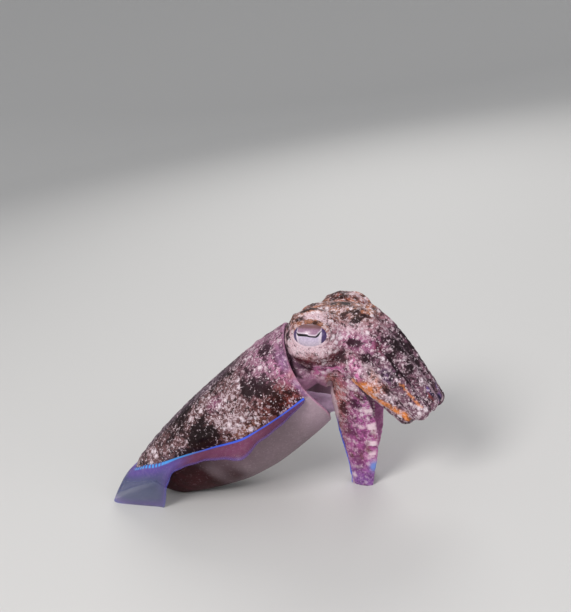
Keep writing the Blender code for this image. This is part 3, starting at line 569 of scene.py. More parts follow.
def buildFin(word, side):
    # a curved sheet from the root line to the margin, with a thickness that falls towards the margin
    rows, sizes = fin["rows"], np.array(fin["stations"])
    share = sizes[-1, 0] * np.linspace(1, 0, fin["columns"])**fin["crowding"]
    out, drop, sweep = easeColumns(share, sizes[:, 0], sizes[:, 1:])
    width, line = mantleSizes(share)[::3]
    root = inMantle(share * body["length"], side * (width + fin["rootGap"]), line)
    edge = root + np.stack([-sweep, side * out, -drop], axis=-1)
    bend = root + np.stack([-0.5 * sweep, side * (0.5 * out + 0.15 * drop), -0.2 * drop], axis=-1)
    across = np.linspace(0, 1, rows)[None, :, None]
    middle = ((1 - across)**2 * root[:, None] + 2 * across * (1 - across) * bend[:, None]
              + across**2 * edge[:, None])
    normal = unit(np.cross(np.gradient(middle, axis=0), np.gradient(middle, axis=1)))
    normal *= np.sign(np.sum(normal * (mantleUp + side * sideways), axis=-1, keepdims=True))
    normal[:, 0] = mantleUp
    wave = np.sin(share * fin["waves"])[:, None, None] * across**2 * fin["ruffle"]
    middle = middle + wave * normal * np.clip(out / 0.012, 0, 1)[:, None, None]
    middle[:, 0] = root - side * fin["bury"] * sideways - 0.0002 * mantleUp
    half = (fin["rootHalf"] + (fin["edgeHalf"] - fin["rootHalf"]) * across**0.6) * normal
    sheets = np.concatenate([middle + half, (middle - half)[:, ::-1]], axis=1)
    onSide = shift[1] + side * np.maximum(side * (sheets[..., 1] - shift[1]), fin["apart"])
    sheets[..., 1] = np.where(share[:, None] < 0.12, onSide, sheets[..., 1])
    sheets[..., 2] = np.maximum(sheets[..., 2], 0.0)
    mesh = outwards(rawMesh("fin_membrane_" + word, *closedTube(sheets)))

    reach = lengths(middle - root[:, None])
    shareAll, acrossAll, reachAll, topAll = (np.concatenate([v.ravel(), v.ravel()[[0, -1]]]) for v in (
        np.repeat(share[:, None], 2 * rows, axis=1),
        np.tile(np.concatenate([across.ravel(), across.ravel()[::-1]]), len(share)),
        np.concatenate([reach, reach[:, ::-1]], axis=1),
        np.tile(np.concatenate([np.ones(rows), np.zeros(rows)]), len(share))))
    points = readPoints(mesh)
    tail = step(-shareAll, -0.26, -0.12)
    dash = step(np.sin(shareAll * 330), -0.55, -0.1)
    lineMask = (1 - step(reachAll, 0.0014, 0.0021)) * topAll * step(shareAll, 0.0, 0.02)
    lineMask = lineMask * (1 - (1 - dash) * step(-shareAll, -0.22, -0.17))
    edge = step(acrossAll, 0.80, 0.97)
    outer = step(-shareAll, -0.48, -0.30)
    tint = blendColours(
        evenly("maroon", len(points)),
        ("violet", 0.40 * step(shareAll, 0.72, 0.90) + step(-shareAll, -0.40, -0.26)),
        ("tailBelly", 0.30 * step(shareAll, 0.60, 0.82)),
        # painted shade: the tail part of the fin takes the green-grey of the shaded ground seen through it
        ("teal", 0.75 * tail * step(acrossAll, 0.15, 0.5) * (1 - edge)),
        ("violet", 0.8 * edge),
        ("blue", 0.45 * step(acrossAll, 0.93, 0.99) * step(-shareAll, -0.40, -0.20)),
        ("sky", lineMask * outer), ("blue", lineMask * (1 - outer)))
    solidity = np.clip(0.90 - 0.42 * tail * step(acrossAll, 0.15, 0.6)
                       - 0.34 * (1 - tail) * step(acrossAll, 0.45, 1.0) - 0.10 * edge + 0.5 * lineMask, 0, 1)
    return finishPiece("fin_membrane_" + word, mesh, finMaterial, "fin_membrane", ("fin_" + word,), tint=tint,
                       tone=0.15 * lumps(points, 0.015, 21), solidity=solidity,
                       strength=0.08 * (1 - lineMask) * (1 - edge))


buildFin("right", -1)
buildFin("left", 1)


# Head, arms and funnel as one skin

head = {
    "sides": 110, "rings": 90, "orbitCentre": (0.0, 0.0195, -0.0010), "orbitRadii": (0.0195, 0.0165, 0.0185),
    # core: forward, up, pitch, half width, half height, share of the head's turn
    "stations": ((-0.0125, -0.0122, 8.0, 0.0215, 0.0250, 0.35), (0.0030, -0.0112, -15.0, 0.0233, 0.0278, 1.0),
                 (0.0155, -0.0108, -38.0, 0.0225, 0.0278, 1.0)),
    "neckHalfWidth": 0.0256, "neckHalfHeight": 0.0160, "neckCentre": -0.0160,
    "browPlaces": ((-0.0105, 0.0215, 0.0125), (-0.0010, 0.0185, 0.0170), (0.0085, 0.0175, 0.0150)),
    "brow": (0.0024, 0.0026, 0.0010),  # half length, half thickness and height of a brow ridge
    "neckBack": 0.0006, "inset": 0.0003, "orbitRings": 60, "orbitSides": 90,
    "voxel": 0.00071, "softRounds": 33, "smoothRounds": 4,
}
# the eyeball's half length, half height and depth; the lids' reach to the front, the rear, above and below,
# and the least and greatest radius of their fold
eye = {"place": (0.0050, 0.0062), "axis": (0.24, 0.92, 0.30), "radii": (0.0112, 0.0080, 0.0090),
       "depth": 0.0060, "rings": 170, "sides": 260, "lidReach": (0.0104, 0.0100, 0.0071, 0.0068),
       "lid": (0.0009, 0.0018), "lidRings": 200, "lidSides": 48}
funnel = {"root": -0.0418, "rootSize": (0.0145, 0.0092), "mouth": (0.0420, -0.0035, 0.0525),
          "mouthRadius": 0.0050, "sides": 60, "rings": 30,
          "lip": ((0.0044, -0.0004), (0.0037, 0.0), (0.0030, 0.0015), (0.0027, 0.006))}
upperArm = dict(outer=(0.0052, 0.0048, 0.0040, 0.0030), inner=(0.0044, 0.0036, 0.0027, 0.0020),
                shares=(0.0, 0.42, 0.75, 1.0), sharp=1.0)
arms = {
    "crownBack": 0.0228, "crownSide": 0.0165, "bundleEnd": (0.0565, 0.0, -0.0485), "curlRadius": 0.0032,
    "curlAngle": 98.0, "footSink": 0.0010, "leftFootSpread": 0.0010, "leftFootBack": 0.0072, "tipHalf": 0.0009,
    "rings": 70, "curlRings": 14, "sides": 36, "webSides": 24, "shrink": 0.0001, "rootBack": 0.009,
    "web": (0.60, 0.60, 0.50),
    # angle from the top of the ring, how far each runs straight out, end point and direction, sizes along it
    "1": dict(upperArm, angle=22, reach=0.016, end=(0.0648, 0.0052, -0.0425), aim=(0.530, -0.05, -0.847),
              pull=0.020, width=(0.0058, 0.0054, 0.0050, 0.0045)),
    "2": dict(upperArm, angle=60, reach=0.018, end=(0.0612, 0.0132, -0.0458), aim=(0.560, -0.08, -0.826),
              pull=0.018, width=(0.0070, 0.0063, 0.0058, 0.0055)),
    "3": dict(upperArm, angle=99, reach=0.018, end=(0.0500, 0.0126, -0.0505), aim=(0.560, -0.14, -0.820),
              pull=0.016, width=(0.0076, 0.0071, 0.0066, 0.0058)),
    "4": dict(angle=148, reach=0.0135, end=(0.0088, 0.0080, 0.0), aim=(-0.15, 0.05, -0.988), pull=0.035,
              width=(0.0086, 0.0158, 0.0150, 0.0076), outer=(0.0044, 0.0043, 0.0038, 0.0024),
              inner=(0.0040, 0.0037, 0.0032, 0.0020), shares=(0.0, 0.29, 0.57, 1.0), sharp=1.35),
}
armNames = [(number, side) for number in "1234" for side in (-1, 1)]


def planePitch(degrees):
    angle = math.radians(degrees)
    return (math.cos(angle) * headForward + math.sin(angle) * headUp,
            math.cos(angle) * headUp - math.sin(angle) * headForward)


def crownFrame():
    f, up, degrees = head["stations"][-1][:3]
    forward, above = planePitch(degrees)
    return inHead(f, 0.0, up), forward, above


def orbitMiddle(side):
    f, left, up = head["orbitCentre"]
    return inHead(f, side * left, up)


def eyeFrame(side):
    axis = unit(eye["axis"][0] * headForward + side * eye["axis"][1] * headLeft + eye["axis"][2] * headUp)
    f, up = eye["place"]
    c, r = head["orbitCentre"], head["orbitRadii"]
    reach = 1 - ((f - c[0]) / r[0])**2 - ((up - c[2]) / r[2])**2
    surface = inHead(f, side * (c[1] + r[1] * math.sqrt(reach)), up)
    forward = squareTo(axis, headForward)
    return surface - axis * eye["depth"], (forward, axis, np.cross(forward, axis) * side)


def orbitSkin(side):
    lat = np.linspace(0.02, math.pi - 0.02, head["orbitRings"])[:, None]
    lon = around(head["orbitSides"])
    radii = [radius - head["inset"] for radius in head["orbitRadii"]]
    return closedTube(orbitMiddle(side) + (radii[0] * np.sin(lat) * np.cos(lon))[..., None] * headForward
                      + (radii[1] * np.cos(lat) * np.ones_like(lon))[..., None] * headLeft
                      + (radii[2] * np.sin(lat) * np.sin(lon))[..., None] * headUp)


def headCore():
    # sections from behind the mantle's opening to the ring of arms, closed by a low dome in front
    tilt = mantleUp + mantle["openingTilt"] * mantleAxis
    wide, high, low = head["neckHalfWidth"], head["neckHalfHeight"], head["neckCentre"]
    rows = [(openingPoint(0.0, low, -head["neckBack"]), sideways, tilt, wide, high),
            (inMantle(0.142, 0.0, low - 0.001), sideways, mantleUp, wide, high)]
    for f, up, degrees, halfWidth, halfHeight, turned in head["stations"]:
        left = unit((1 - turned) * sideways + turned * headLeft)
        rows.append((inHead(f, 0.0, up), left, planePitch(degrees)[1], halfWidth, halfHeight))
    knots, at, angle = (0.0, 0.2, 0.45, 0.72, 1.0), np.linspace(0, 1, head["rings"]), around(head["sides"])
    centre, left, above = (np.stack(easeColumns(at, knots, [row[k] for row in rows]), axis=-1)
                           for k in range(3))
    halfWidth, halfHeight = (size[:, None] for size in easeColumns(at, knots, [row[3:] for row in rows]))
    rings = carried(centre, left, above, halfWidth * np.cos(angle), halfHeight * np.sin(angle))
    forward = crownFrame()[1]
    dome = [centre[-1] + scale * (rings[-1] - centre[-1]) + rise * forward
            for scale, rise in ((0.93, 0.0012), (0.8, 0.0018), (0.55, 0.0022), (0.3, 0.003), (0.12, 0.0032))]
    return closedTube(np.concatenate([rings, np.array(dome)]))


def armPath(number, side, back=0.0):
    # centre line, direction, outward and share of one arm; back lets the root run into the head
    spec, rings, curlRings = arms[number], arms["rings"], arms["curlRings"]
    centre, forward, above = crownFrame()
    angle = math.radians(spec["angle"])
    lateral = side * headLeft
    start = centre + arms["crownBack"] * math.cos(angle) * above + arms["crownSide"] * math.sin(angle) * lateral
    f, out, up = spec["end"]
    end = inHead(f, side * out, up)
    aim = unit(spec["aim"][0] * headForward + spec["aim"][1] * lateral + spec["aim"][2] * headUp)
    if number == "4":
        out += arms["leftFootSpread"] * (side > 0)
        f -= arms["leftFootBack"] * (side > 0)
        end = headPoint + f * headForward + side * out * levelLeft
        end[2] = -arms["footSink"]
        lateral = side * levelLeft
        aim = unit(spec["aim"][0] * headForward + spec["aim"][1] * lateral + spec["aim"][2] * upward)
    control = (start, start + spec["reach"] * forward, end - spec["pull"] * aim, end)
    t = np.linspace(0, 1, rings)
    path = bezier(control, t)
    fine = bezier(control, np.linspace(0, 1, 10 * rings - 9))
    direction = unit(np.gradient(fine, axis=0))[::10]
    direction[0] = forward
    firstOut = unit(arms["crownSide"] * math.cos(angle) * above + arms["crownBack"] * math.sin(angle) * lateral)
    if number == "4":
        lastOut = lateral
    else:
        lastOut = -squareTo(aim, inHead(*arms["bundleEnd"]) - end)
    blend = ease(t, (0.0, 0.5, 1.0), (0.0, 0.75, 1.0) if number == "4" else (0.0, 0.5, 1.0))[:, None]
    outward = squareTo(direction, (1 - blend) * firstOut + blend * lastOut)
    frames, share = (path, direction, outward), t
    if number != "4":
        bend = np.radians(np.linspace(0, arms["curlAngle"], curlRings + 1)[1:])[:, None]
        lead, out0 = direction[-1], outward[-1]
        curl = (end + arms["curlRadius"] * (np.sin(bend) * lead - (1 - np.cos(bend)) * out0),
                np.cos(bend) * lead - np.sin(bend) * out0, np.cos(bend) * out0 + np.sin(bend) * lead)
        frames = [np.vstack(pair) for pair in zip(frames, curl)]
        share = np.concatenate([share, 1 + np.linspace(0, 1, curlRings + 1)[1:]])
    if back:
        behind = (path[0] - back * forward, direction[0], outward[0])
        frames = [np.vstack(pair) for pair in zip(behind, frames)]
        share = np.concatenate([[0.0], share])
    return (*frames, share)


def armSizes(number, share):
    spec = arms[number]
    return [ease(share, spec["shares"] + (2.0,), spec[key] + (arms["tipHalf"],))
            for key in ("width", "outer", "inner")]


def armRings(path, direction, outward, sizes, sides, sharp=1.0):
    # an ellipse carried along a path, flatter inside than outside; sharp above 1 narrows its margins
    width, outer, inner = sizes
    angle = around(sides)
    thick = np.where(np.sin(angle) > 0, outer, inner)
    return closedTube(carried(path, np.cross(direction, outward), outward, width * np.cos(angle),
                              thick * signedPower(np.sin(angle), sharp)))


def armSkin(number, side):
    path, direction, outward, share = armPath(number, side, arms["rootBack"])
    sizes = (size[:, None] - arms["shrink"] for size in armSizes(number, share))
    return armRings(path, direction, outward, sizes, arms["sides"], arms[number]["sharp"])


def webSkin(first, second):
    # a low strip of skin in the groove between two neighbouring arms, which lie pressed together
    (path, direction, outward, share), other = (armPath(*name, arms["rootBack"]) for name in (first, second))
    path = (path + other[0]) / 2
    direction = unit(direction + other[1])
    outward = squareTo(direction, outward + other[2])
    sizes = (np.mean([armSizes(name[0], share)[k] for name in (first, second)], axis=0) for k in range(3))
    sizes = (size[:, None] * part for size, part in zip(sizes, arms["web"]))
    return armRings(path, direction, outward, sizes, arms["webSides"])


def funnelSkin():
    # a tapering tube from the mantle's opening with a rolled mouth and a bore
    angle = around(funnel["sides"])
    root = openingPoint(0.0, funnel["root"], -head["neckBack"])
    mouth = np.array(funnel["mouth"]) + shift
    tilt = mantleUp + mantle["openingTilt"] * mantleAxis
    aim = unit(mouth - root)
    above = squareTo(aim, upward)
    left = np.cross(above, aim)
    t = np.linspace(0, 1, funnel["rings"])[:, None]
    wide, high = (size + (funnel["mouthRadius"] - size) * t**0.8 for size in funnel["rootSize"])
    tube = carried(root + (mouth - root) * t, (1 - t) * sideways + t * left, (1 - t) * tilt + t * above,
                   wide * np.cos(angle), high * np.sin(angle))
    radius, deep = np.array(funnel["lip"]).T[:, :, None]
    lip = carried(mouth - deep * aim, left[None], above[None], radius * np.cos(angle), radius * np.sin(angle))
    return closedTube(np.vstack([tube, lip]))


def voxelSkin(name, parts, size):  # one closed surface round several overlapping closed ones
    source = placed(name + "_source", rawMesh(name + "_source", *joined(parts)))
    change = source.modifiers.new("skin", "REMESH")
    change.mode = "VOXEL"
    change.voxel_size = size
    bpy.context.view_layer.update()
    mesh = bpy.data.meshes.new_from_object(source.evaluated_get(bpy.context.evaluated_depsgraph_get()))
    mesh.name = name
    raw = source.data
    bpy.data.objects.remove(source)
    bpy.data.meshes.remove(raw)
    return mesh


def armCoordinates(points):
    # for each point the nearest arm's number, its share, how far across it is (+1 at the lower margin,
    # -1 at the upper), how far out (+ outer face), and how deep inside
    best = np.full(len(points), 1e9)
    found = {key: np.zeros(len(points)) for key in ("number", "share", "margin", "out")}
    for number, side in armNames:
        path, direction, outward, share = armPath(number, side)
        squared = (np.sum(points**2, axis=1)[:, None] - 2 * points @ path.T + np.sum(path**2, axis=1))
        nearest = np.argmin(squared, axis=1)
        offset = points - path[nearest]
        width, outer, inner = (size[nearest] for size in armSizes(number, share))
        across = np.sum(offset * np.cross(direction, outward)[nearest], axis=1) / width
        out = np.sum(offset * outward[nearest], axis=1)
        out = out / np.where(out > 0, outer, inner)
        behind = np.where(nearest == 0, np.maximum(-np.sum(offset * direction[0], axis=1), 0) / 0.004, 0)
        depth = np.hypot(across, out) + behind
        here = {"number": int(number), "share": share[nearest], "margin": -side * across, "out": out}
        found = {key: np.where(depth < best, here[key], found[key]) for key in found}
        best = np.minimum(best, depth)
    return dict(found, depth=best)


def eyeCoordinates(points):  # offsets from the nearer eye's middle: forward, out along its axis, up
    right, left = ((points - eyeFrame(side)[0]) @ np.array(eyeFrame(side)[1]).T for side in (-1, 1))
    nearRight = lengths(right) < lengths(left)
    return np.where(nearRight[:, None], right, left)


# marks at places of the head's own frame (forward, left, up) in millimetres, the same on both sides: colour
# laid, how much of it, how pale (+) or dark (-), reach, and the points of a line or a single spot
headMarks = (
    ("cream", 0.9, 0.36, 9.0, ((-6.0, -33.5, -2.0), (4.5, -33.5, -4.0))),
    ("cream", 0.8, 0.5, 5.0, ((2.0, -25.7, 15.0), (9.0, -25.0, 14.0))),
    ("crown", 0.8, -0.35, 3.6, ((-11.0, -26.0, 13.0), (-5.9, -23.0, 16.0))),
    ("crown", 0.9, -0.15, 3.0, ((3.0, -30.5, 12.5), (8.0, -30.0, 12.0))),
    ("band", 1.0, -0.38, 3.6,
     ((-6.0, -32.2, -10.8), (-0.5, -32.2, -12.0), (4.0, -31.8, -12.4), (8.4, -30.6, -11.7),
      (12.9, -27.8, -10.8), (16.3, -23.5, -10.0))),
    ("crown", 0.8, -0.2, 2.0, ((-3.6, -22.6, 16.3), (-9.1, -23.2, 14.4), (-13.3, -27.1, 8.8))),
    # the next mark, a dark line down the orbit's rear and lower edge, is partly dark brown skin and partly
    # painted shadow where the head meets the mantle
    ("dark", 0.6, -0.8, 1.7,
     ((-12.1, -30.8, 5.5), (-12.1, -31.8, 1.7), (-13.2, -30.7, -3.7), (-12.7, -30.3, -7.3),
      (-15.0, -26.5, -11.5), (-17.3, -22.9, -15.3), (-14.3, -24.9, -18.8), (-11.8, -25.5, -22.5),
      (-9.9, -23.6, -27.2))),
    ("band", 0.8, -0.42, 3.6, ((-6.0, -32.2, -10.6), (0.1, -33.3, -10.1), (5.5, -31.6, -11.5))),
    ("rust", 0.7, -0.1, 2.2, ((-1.0, -34.0, -7.0), (5.0, -34.0, -7.2))),
    ("magenta", 0.8, 0.75, 3.4, ((0.5, -24.0, -18.5), (1.1, -21.8, -20.6), (6.5, -20.6, -20.5))),
    ("magenta", 0.9, 0.45, 3.0, ((4.5, -27.0, -16.0), (8.5, -20.8, -19.1), (14.4, -19.4, -20.9))),
    ("dark", 0.3, -1.1, 3.6, ((24.9, -19.4, -3.1),)),
    ("dark", 0.3, -1.0, 3.2, ((17.7, -21.8, -8.3),)),
    ("rust", 0.6, -0.4, 2.8, ((37.0, -13.9, -6.2),)),
    ("dark", 0.2, -0.9, 3.4, ((32.2, -19.5, -11.8),)),
    ("dark", 0.3, -1.0, 4.2, ((45.4, -7.4, -5.4), (48.9, -6.9, -10.0))),
    ("dark", 0.2, -0.8, 4.5, ((54.6, -7.6, -18.8),)),
    ("dark", 0.5, -1.2, 1.3, ((44.7, -13.6, -14.4), (48.0, -15.0, -20.2), (51.4, -15.5, -25.3))),
    ("violet", 0.3, -0.6, 4.0, ((43.8, -19.0, -22.6),)),
    ("palePink", 0.3, 0.7, 4.5, ((27.8, -14.1, 5.5), (20.0, -18.0, 7.0))),
    ("palePink", 0.5, 0.75, 3.8, ((32.3, -19.1, -18.4), (36.2, -19.0, -23.3))),
    ("orange", 0.35, 0.0, 3.0, ((34.5, -19.1, -22.5), (40.0, -18.5, -29.0))),
    ("crown", 0.5, -0.6, 3.0, ((19.4, -16.5, 7.2),)),
    ("rust", 0.6, -0.4, 2.6, ((37.7, -14.5, -7.2),)),
    ("palePink", 0.6, 0.9, 3.2, ((44.9, -17.6, -35.2),)),
    ("armPink", 0.4, 0.45, 6.0, ((20.0, -20.0, 0.0), (34.0, -15.0, -5.0))),
    ("rust", 0.8, -0.1, 3.0, ((13.9, -19.2, 11.2),)),
    ("dark", 0.3, -0.9, 3.4, ((25.3, -11.7, 9.7),)),
    ("rust", 0.6, -0.5, 4.0, ((6.7, -13.0, 15.0), (-2.0, -15.0, 17.5))),
    ("dark", 0.4, -1.0, 2.2, ((6.0, 0.0, 15.5), (20.0, 0.0, 14.5))),
    ("orange", 1.0, -0.1, 4.0, ((28.0, -19.5, -28.5), (35.0, -19.5, -31.8))),
    ("magenta", 0.9, 0.2, 1.9, ((23.2, -19.8, -14.6), (27.1, -20.5, -19.8), (26.2, -20.0, -25.0))),
    ("violet", 0.9, -0.3, 1.2, ((63.5, -5.4, -33.5), (66.0, -3.5, -37.9), (66.7, -1.0, -42.0))),
)
# plain bright lines along the margins of the upper arms: colour, strength, half width and points
marginLines = (
    ("orange", 0.95, 2.0,
     ((22.8, -19.4, -26.2), (27.2, -17.9, -32.1), (32.7, -18.6, -34.7), (37.5, -18.4, -38.2),
      (42.4, -18.3, -40.6), (47.4, -17.8, -43.6), (51.3, -16.8, -46.0), (53.5, -16.1, -48.9))),
    ("palePink", 0.5, 0.8, ((43.3, -17.3, -16.5), (47.5, -17.1, -21.3), (51.1, -17.2, -26.5))),
    ("orange", 0.8, 0.8,
     ((51.1, -17.2, -26.5), (53.5, -16.6, -29.1), (55.2, -16.8, -31.9), (57.7, -16.2, -35.0),
      (60.3, -15.4, -39.0), (62.4, -14.6, -41.0))),
    ("rust", 0.9, 0.8, ((63.5, -7.0, -35.1), (66.4, -6.7, -40.3))),
)
# the lowest pair of arms: share of the length, place across it and half length of the pale dots
bladeDots = ((0.43, -0.86, 0.024), (0.55, -0.80, 0.024), (0.67, -0.76, 0.018), (0.75, -0.74, 0.014))
# and the soft marks on them: share of the length, place across it, half sizes, pale (+) or dark (-)
bladeMarks = (
    (0.19, -0.80, 0.035, 0.18, 1.1), (0.26, -0.50, 0.035, 0.18, 0.8), (0.45, -0.19, 0.030, 0.15, 1.1),
    (0.15, 0.00, 0.060, 0.60, 0.35), (0.41, 0.31, 0.050, 0.20, -1.3), (0.60, 0.05, 0.045, 0.28, -1.1),
    (0.34, 0.45, 0.040, 0.25, 0.4), (0.36, -0.45, 0.050, 0.30, -0.5), (0.80, 0.10, 0.060, 0.40, -0.3),
    (0.22, 0.06, 0.028, 0.17, 1.3), (0.30, -0.04, 0.024, 0.15, 1.1), (0.27, 0.56, 0.030, 0.18, -1.2),
    (0.18, 0.40, 0.022, 0.14, -0.9), (0.36, 0.16, 0.026, 0.15, -0.9), (0.42, 0.62, 0.026, 0.15, -0.7),
)


def nearLine(points, line, reach):  # 1 on a line of points, falling softly to 0 away from it
    line, reach = np.array(line) * 0.001, reach * 0.001
    if len(line) == 1:
        return np.exp(-(lengths(points - line[0]) / reach)**2)
    nearest = np.full(len(points), 1e9)
    for a, b in zip(line[:-1], line[1:]):
        t = np.clip((points - a) @ (b - a) / np.dot(b - a, b - a), 0, 1)
        nearest = np.minimum(nearest, lengths(points - a - t[:, None] * (b - a)))
    return np.exp(-(nearest / reach)**2)


def laidOver(mask, under, over):  # the second set of tint, tone and strength laid over the first one
    return [a * (1 - m) + b * m for a, b, m in zip(under, over, (mask[:, None], mask, mask))]


def armLooks(points, arm, lowest):  # tint, tone and strength of the arms, with the lowest pair's own marks
    share, margin = arm["share"], arm["margin"]
    outerFace = step(arm["out"], -0.35, 0.15)
    edge = lowest * step(margin + 0.26 * (1 - step(share, 0.42, 0.58)), 0.76, 0.90)
    dots = sum((1 - step(np.abs(share - at), 0.60 * tall, 1.1 * tall))
               * (1 - step(np.abs(margin - place), 0.10, 0.24)) for at, place, tall in bladeDots)
    dots = np.clip(lowest * outerFace * dots, 0, 1)
    tab = np.clip(1.5 * lowest * bell(share, 0.84, 0.035) * bell(margin, -0.9, 0.25), 0, 1)
    marks = np.clip(edge + dots + tab, 0, 1)
    blade, far = lowest * outerFace * (1 - marks), step(share, 0.48, 0.60)
    soft, low = lumps(points, 0.0060, 36), lumps(points, 0.0072, 38)
    tint = blendColours(
        evenly("arm", len(points)),
        ("armBrown", lowest * step(-share + 0.30 * margin, -0.62, -0.10)),
        ("armPink", 0.9 * lowest * step(share - 0.35 * margin, 0.22, 0.70)),
        ("violet", 0.6 * lowest * step(share, 0.78, 0.95)),
        ("inner", 0.9 * (1 - outerFace) * (1 - 0.8 * lowest * step(np.abs(margin), 0.35, 0.65))),
        ("palePink", 0.90 * edge * (1 - far)), ("blue", edge * far), ("palePink", 0.95 * dots),
        ("sky", 0.7 * tab), ("palePink", 0.60 * blade * step(soft, 0.30, 1.0)),
        ("crown", 0.65 * blade * step(low, 0.25, 0.9)))
    # painted shade in the creases where the upper arms lie pressed together, along their margins near the roots
    groove = (1 - lowest) * outerFace * step(np.abs(margin), 0.80, 1.0) * step(share, 0.12, 0.40)
    tone = 0.18 + 0.28 * lumps(points, 0.013, 35) + 0.32 * lumps(points, 0.0064, 39) - 0.75 * groove
    tone = tone + lowest * sum(value * bell(share, at, tall) * bell(margin, place, wide)
                               for at, place, tall, wide, value in bladeMarks)
    strength = (0.95 - lowest * (0.06 + 0.24 * step(share, 0.36, 0.60)) - 0.40 * (1 - outerFace)
                - 0.60 * marks - 0.20 * lowest * step(share, 0.75, 0.95))
    return tint, tone, strength


def marked(points, place, free, tint, tone, strength):  # lays the marks and margin lines where free is 1
    blurred = place + 0.0022 * np.stack([lumps(points, 0.007, seed) for seed in (51, 52, 53)], axis=1)
    frayed = place + 0.0006 * np.stack([lumps(points, 0.0028, seed) for seed in (54, 55, 56)], axis=1)
    worn = 0.70 + 0.30 * step(lumps(points, 0.0045, 57), -0.7, 0.3)
    for name, amount, value, reach, line in headMarks:
        near = nearLine(blurred, line, reach) * free
        tint = blendColours(tint, (name, amount * near))
        tone = tone + value * near
        strength = strength * (1 - 0.40 * near * (name == "band"))
    for name, amount, reach, line in marginLines:
        near = step(nearLine(frayed, line, reach), 0.15, 0.75) * free * amount * worn
        tint = blendColours(tint, (name, near))
        strength = strength * (1 - 0.50 * near)
    return tint, tone, np.clip(strength, 0.05, 1)


def funnelMask(points):  # 1 on the funnel, 0 on the head and arms round it
    root = openingPoint(0.0, funnel["root"])
    mouth = np.array(funnel["mouth"]) + shift
    aim, length = unit(mouth - root), np.linalg.norm(mouth - root)
    along = np.clip((points - root) @ aim / length, -0.2, 1.2)
    away = lengths(points - root - (along * length)[:, None] * aim)
    near = (1 - step(away, 0.0150, 0.0175)) * (1 - step(along, 1.05, 1.15)) * step(along, -0.2, -0.1)
    below = step(-((points - tailTip) @ mantleUp), 0.0305, 0.0335)
    return near * np.maximum(below, (away < 0.0062) * 1.0)


def headColours(points):
    arm = armCoordinates(points)
    wobble = lumps(points, 0.012, 31)
    lowest, outside = (arm["number"] == 4) * 1.0, step(arm["depth"], 1.35, 2.0)
    onArm = (1 - outside) * np.maximum(lowest, step(arm["share"] + 0.05 * wobble, 0.02, 0.30))
    f, left, up = ((points - headPoint) @ axis for axis in (headForward, headLeft, headUp))
    a, outAlong, b = eyeCoordinates(points).T
    before, behind, over, under = eye["lidReach"]
    ring = np.hypot(a / np.where(a > 0, before, behind), b / np.where(b > 0, over, under))
    fromMantle = (points - tailTip) @ mantleAxis / body["length"]
    face = step(outAlong, -0.024, -0.010)
    streak = lumps(np.stack([0.45 * f, left, up], axis=1) + 0.02, 0.0042, 37)
    orbit = (np.stack([f, np.abs(left), up], axis=1) - head["orbitCentre"]) / head["orbitRadii"]
    onOrbit = 1 - step(lengths(orbit), 1.05, 1.22)
    # the rear of the orbit's rim: partly dark brown skin, partly painted shadow where the head meets the mantle
    rearRimAndShade = onOrbit * step(-orbit[:, 0] + 0.05 * wobble, 0.66, 0.86)
    below = onOrbit * step(-orbit[:, 2] + 0.06 * wobble, 0.66, 0.86)
    throat = step(-up, 0.015, 0.019) * step(f, -0.008, 0.002)
    hidden = step(-fromMantle, -1.03, -0.98)
    tint = blendColours(
        evenly("head", len(points)),
        ("crown", 0.85 * step(up + 0.002 * wobble, 0.004, 0.013)),
        ("orange", 0.35 * step(up, 0.007, 0.013) * step(streak, 0.1, 0.5)),
        ("magenta", 0.70 * throat),
        ("chin", step(-up, 0.021, 0.027) * (1 - step(f, 0.014, 0.024))),
        ("band", 0.7 * below), ("crown", 0.35 * rearRimAndShade), ("neck", 0.35 * hidden))
    tone = (0.05 + 0.30 * face * (1 - step(ring, 1.7, 2.4)) - 0.7 * below - 0.4 * rearRimAndShade
            + 0.55 * streak * step(up, 0.004, 0.012) + 0.30 * step(-up, 0.020, 0.026) + 0.45 * throat
            + 0.20 * lumps(points, 0.016, 33) + 0.42 * lumps(points, 0.0068, 34) * (1 - 0.6 * below))
    strength = 0.95 - 0.40 * step(-up, 0.023, 0.029) - 0.4 * hidden
    looksNow = laidOver(onArm, (tint, tone, strength), armLooks(points, arm, lowest))
    place = np.stack([f, -np.abs(left), up], axis=1)
    looksNow = marked(points, place, 1 - onArm * lowest, *looksNow)
    # the funnel: its pale lavender, brightened as a painted highlight, with little mottle
    onFunnel = funnelMask(points) * (1 - onArm * (arm["depth"] < 1.1))
    return laidOver(onFunnel, looksNow, (skinColours["funnel"], 0.0, 0.15))


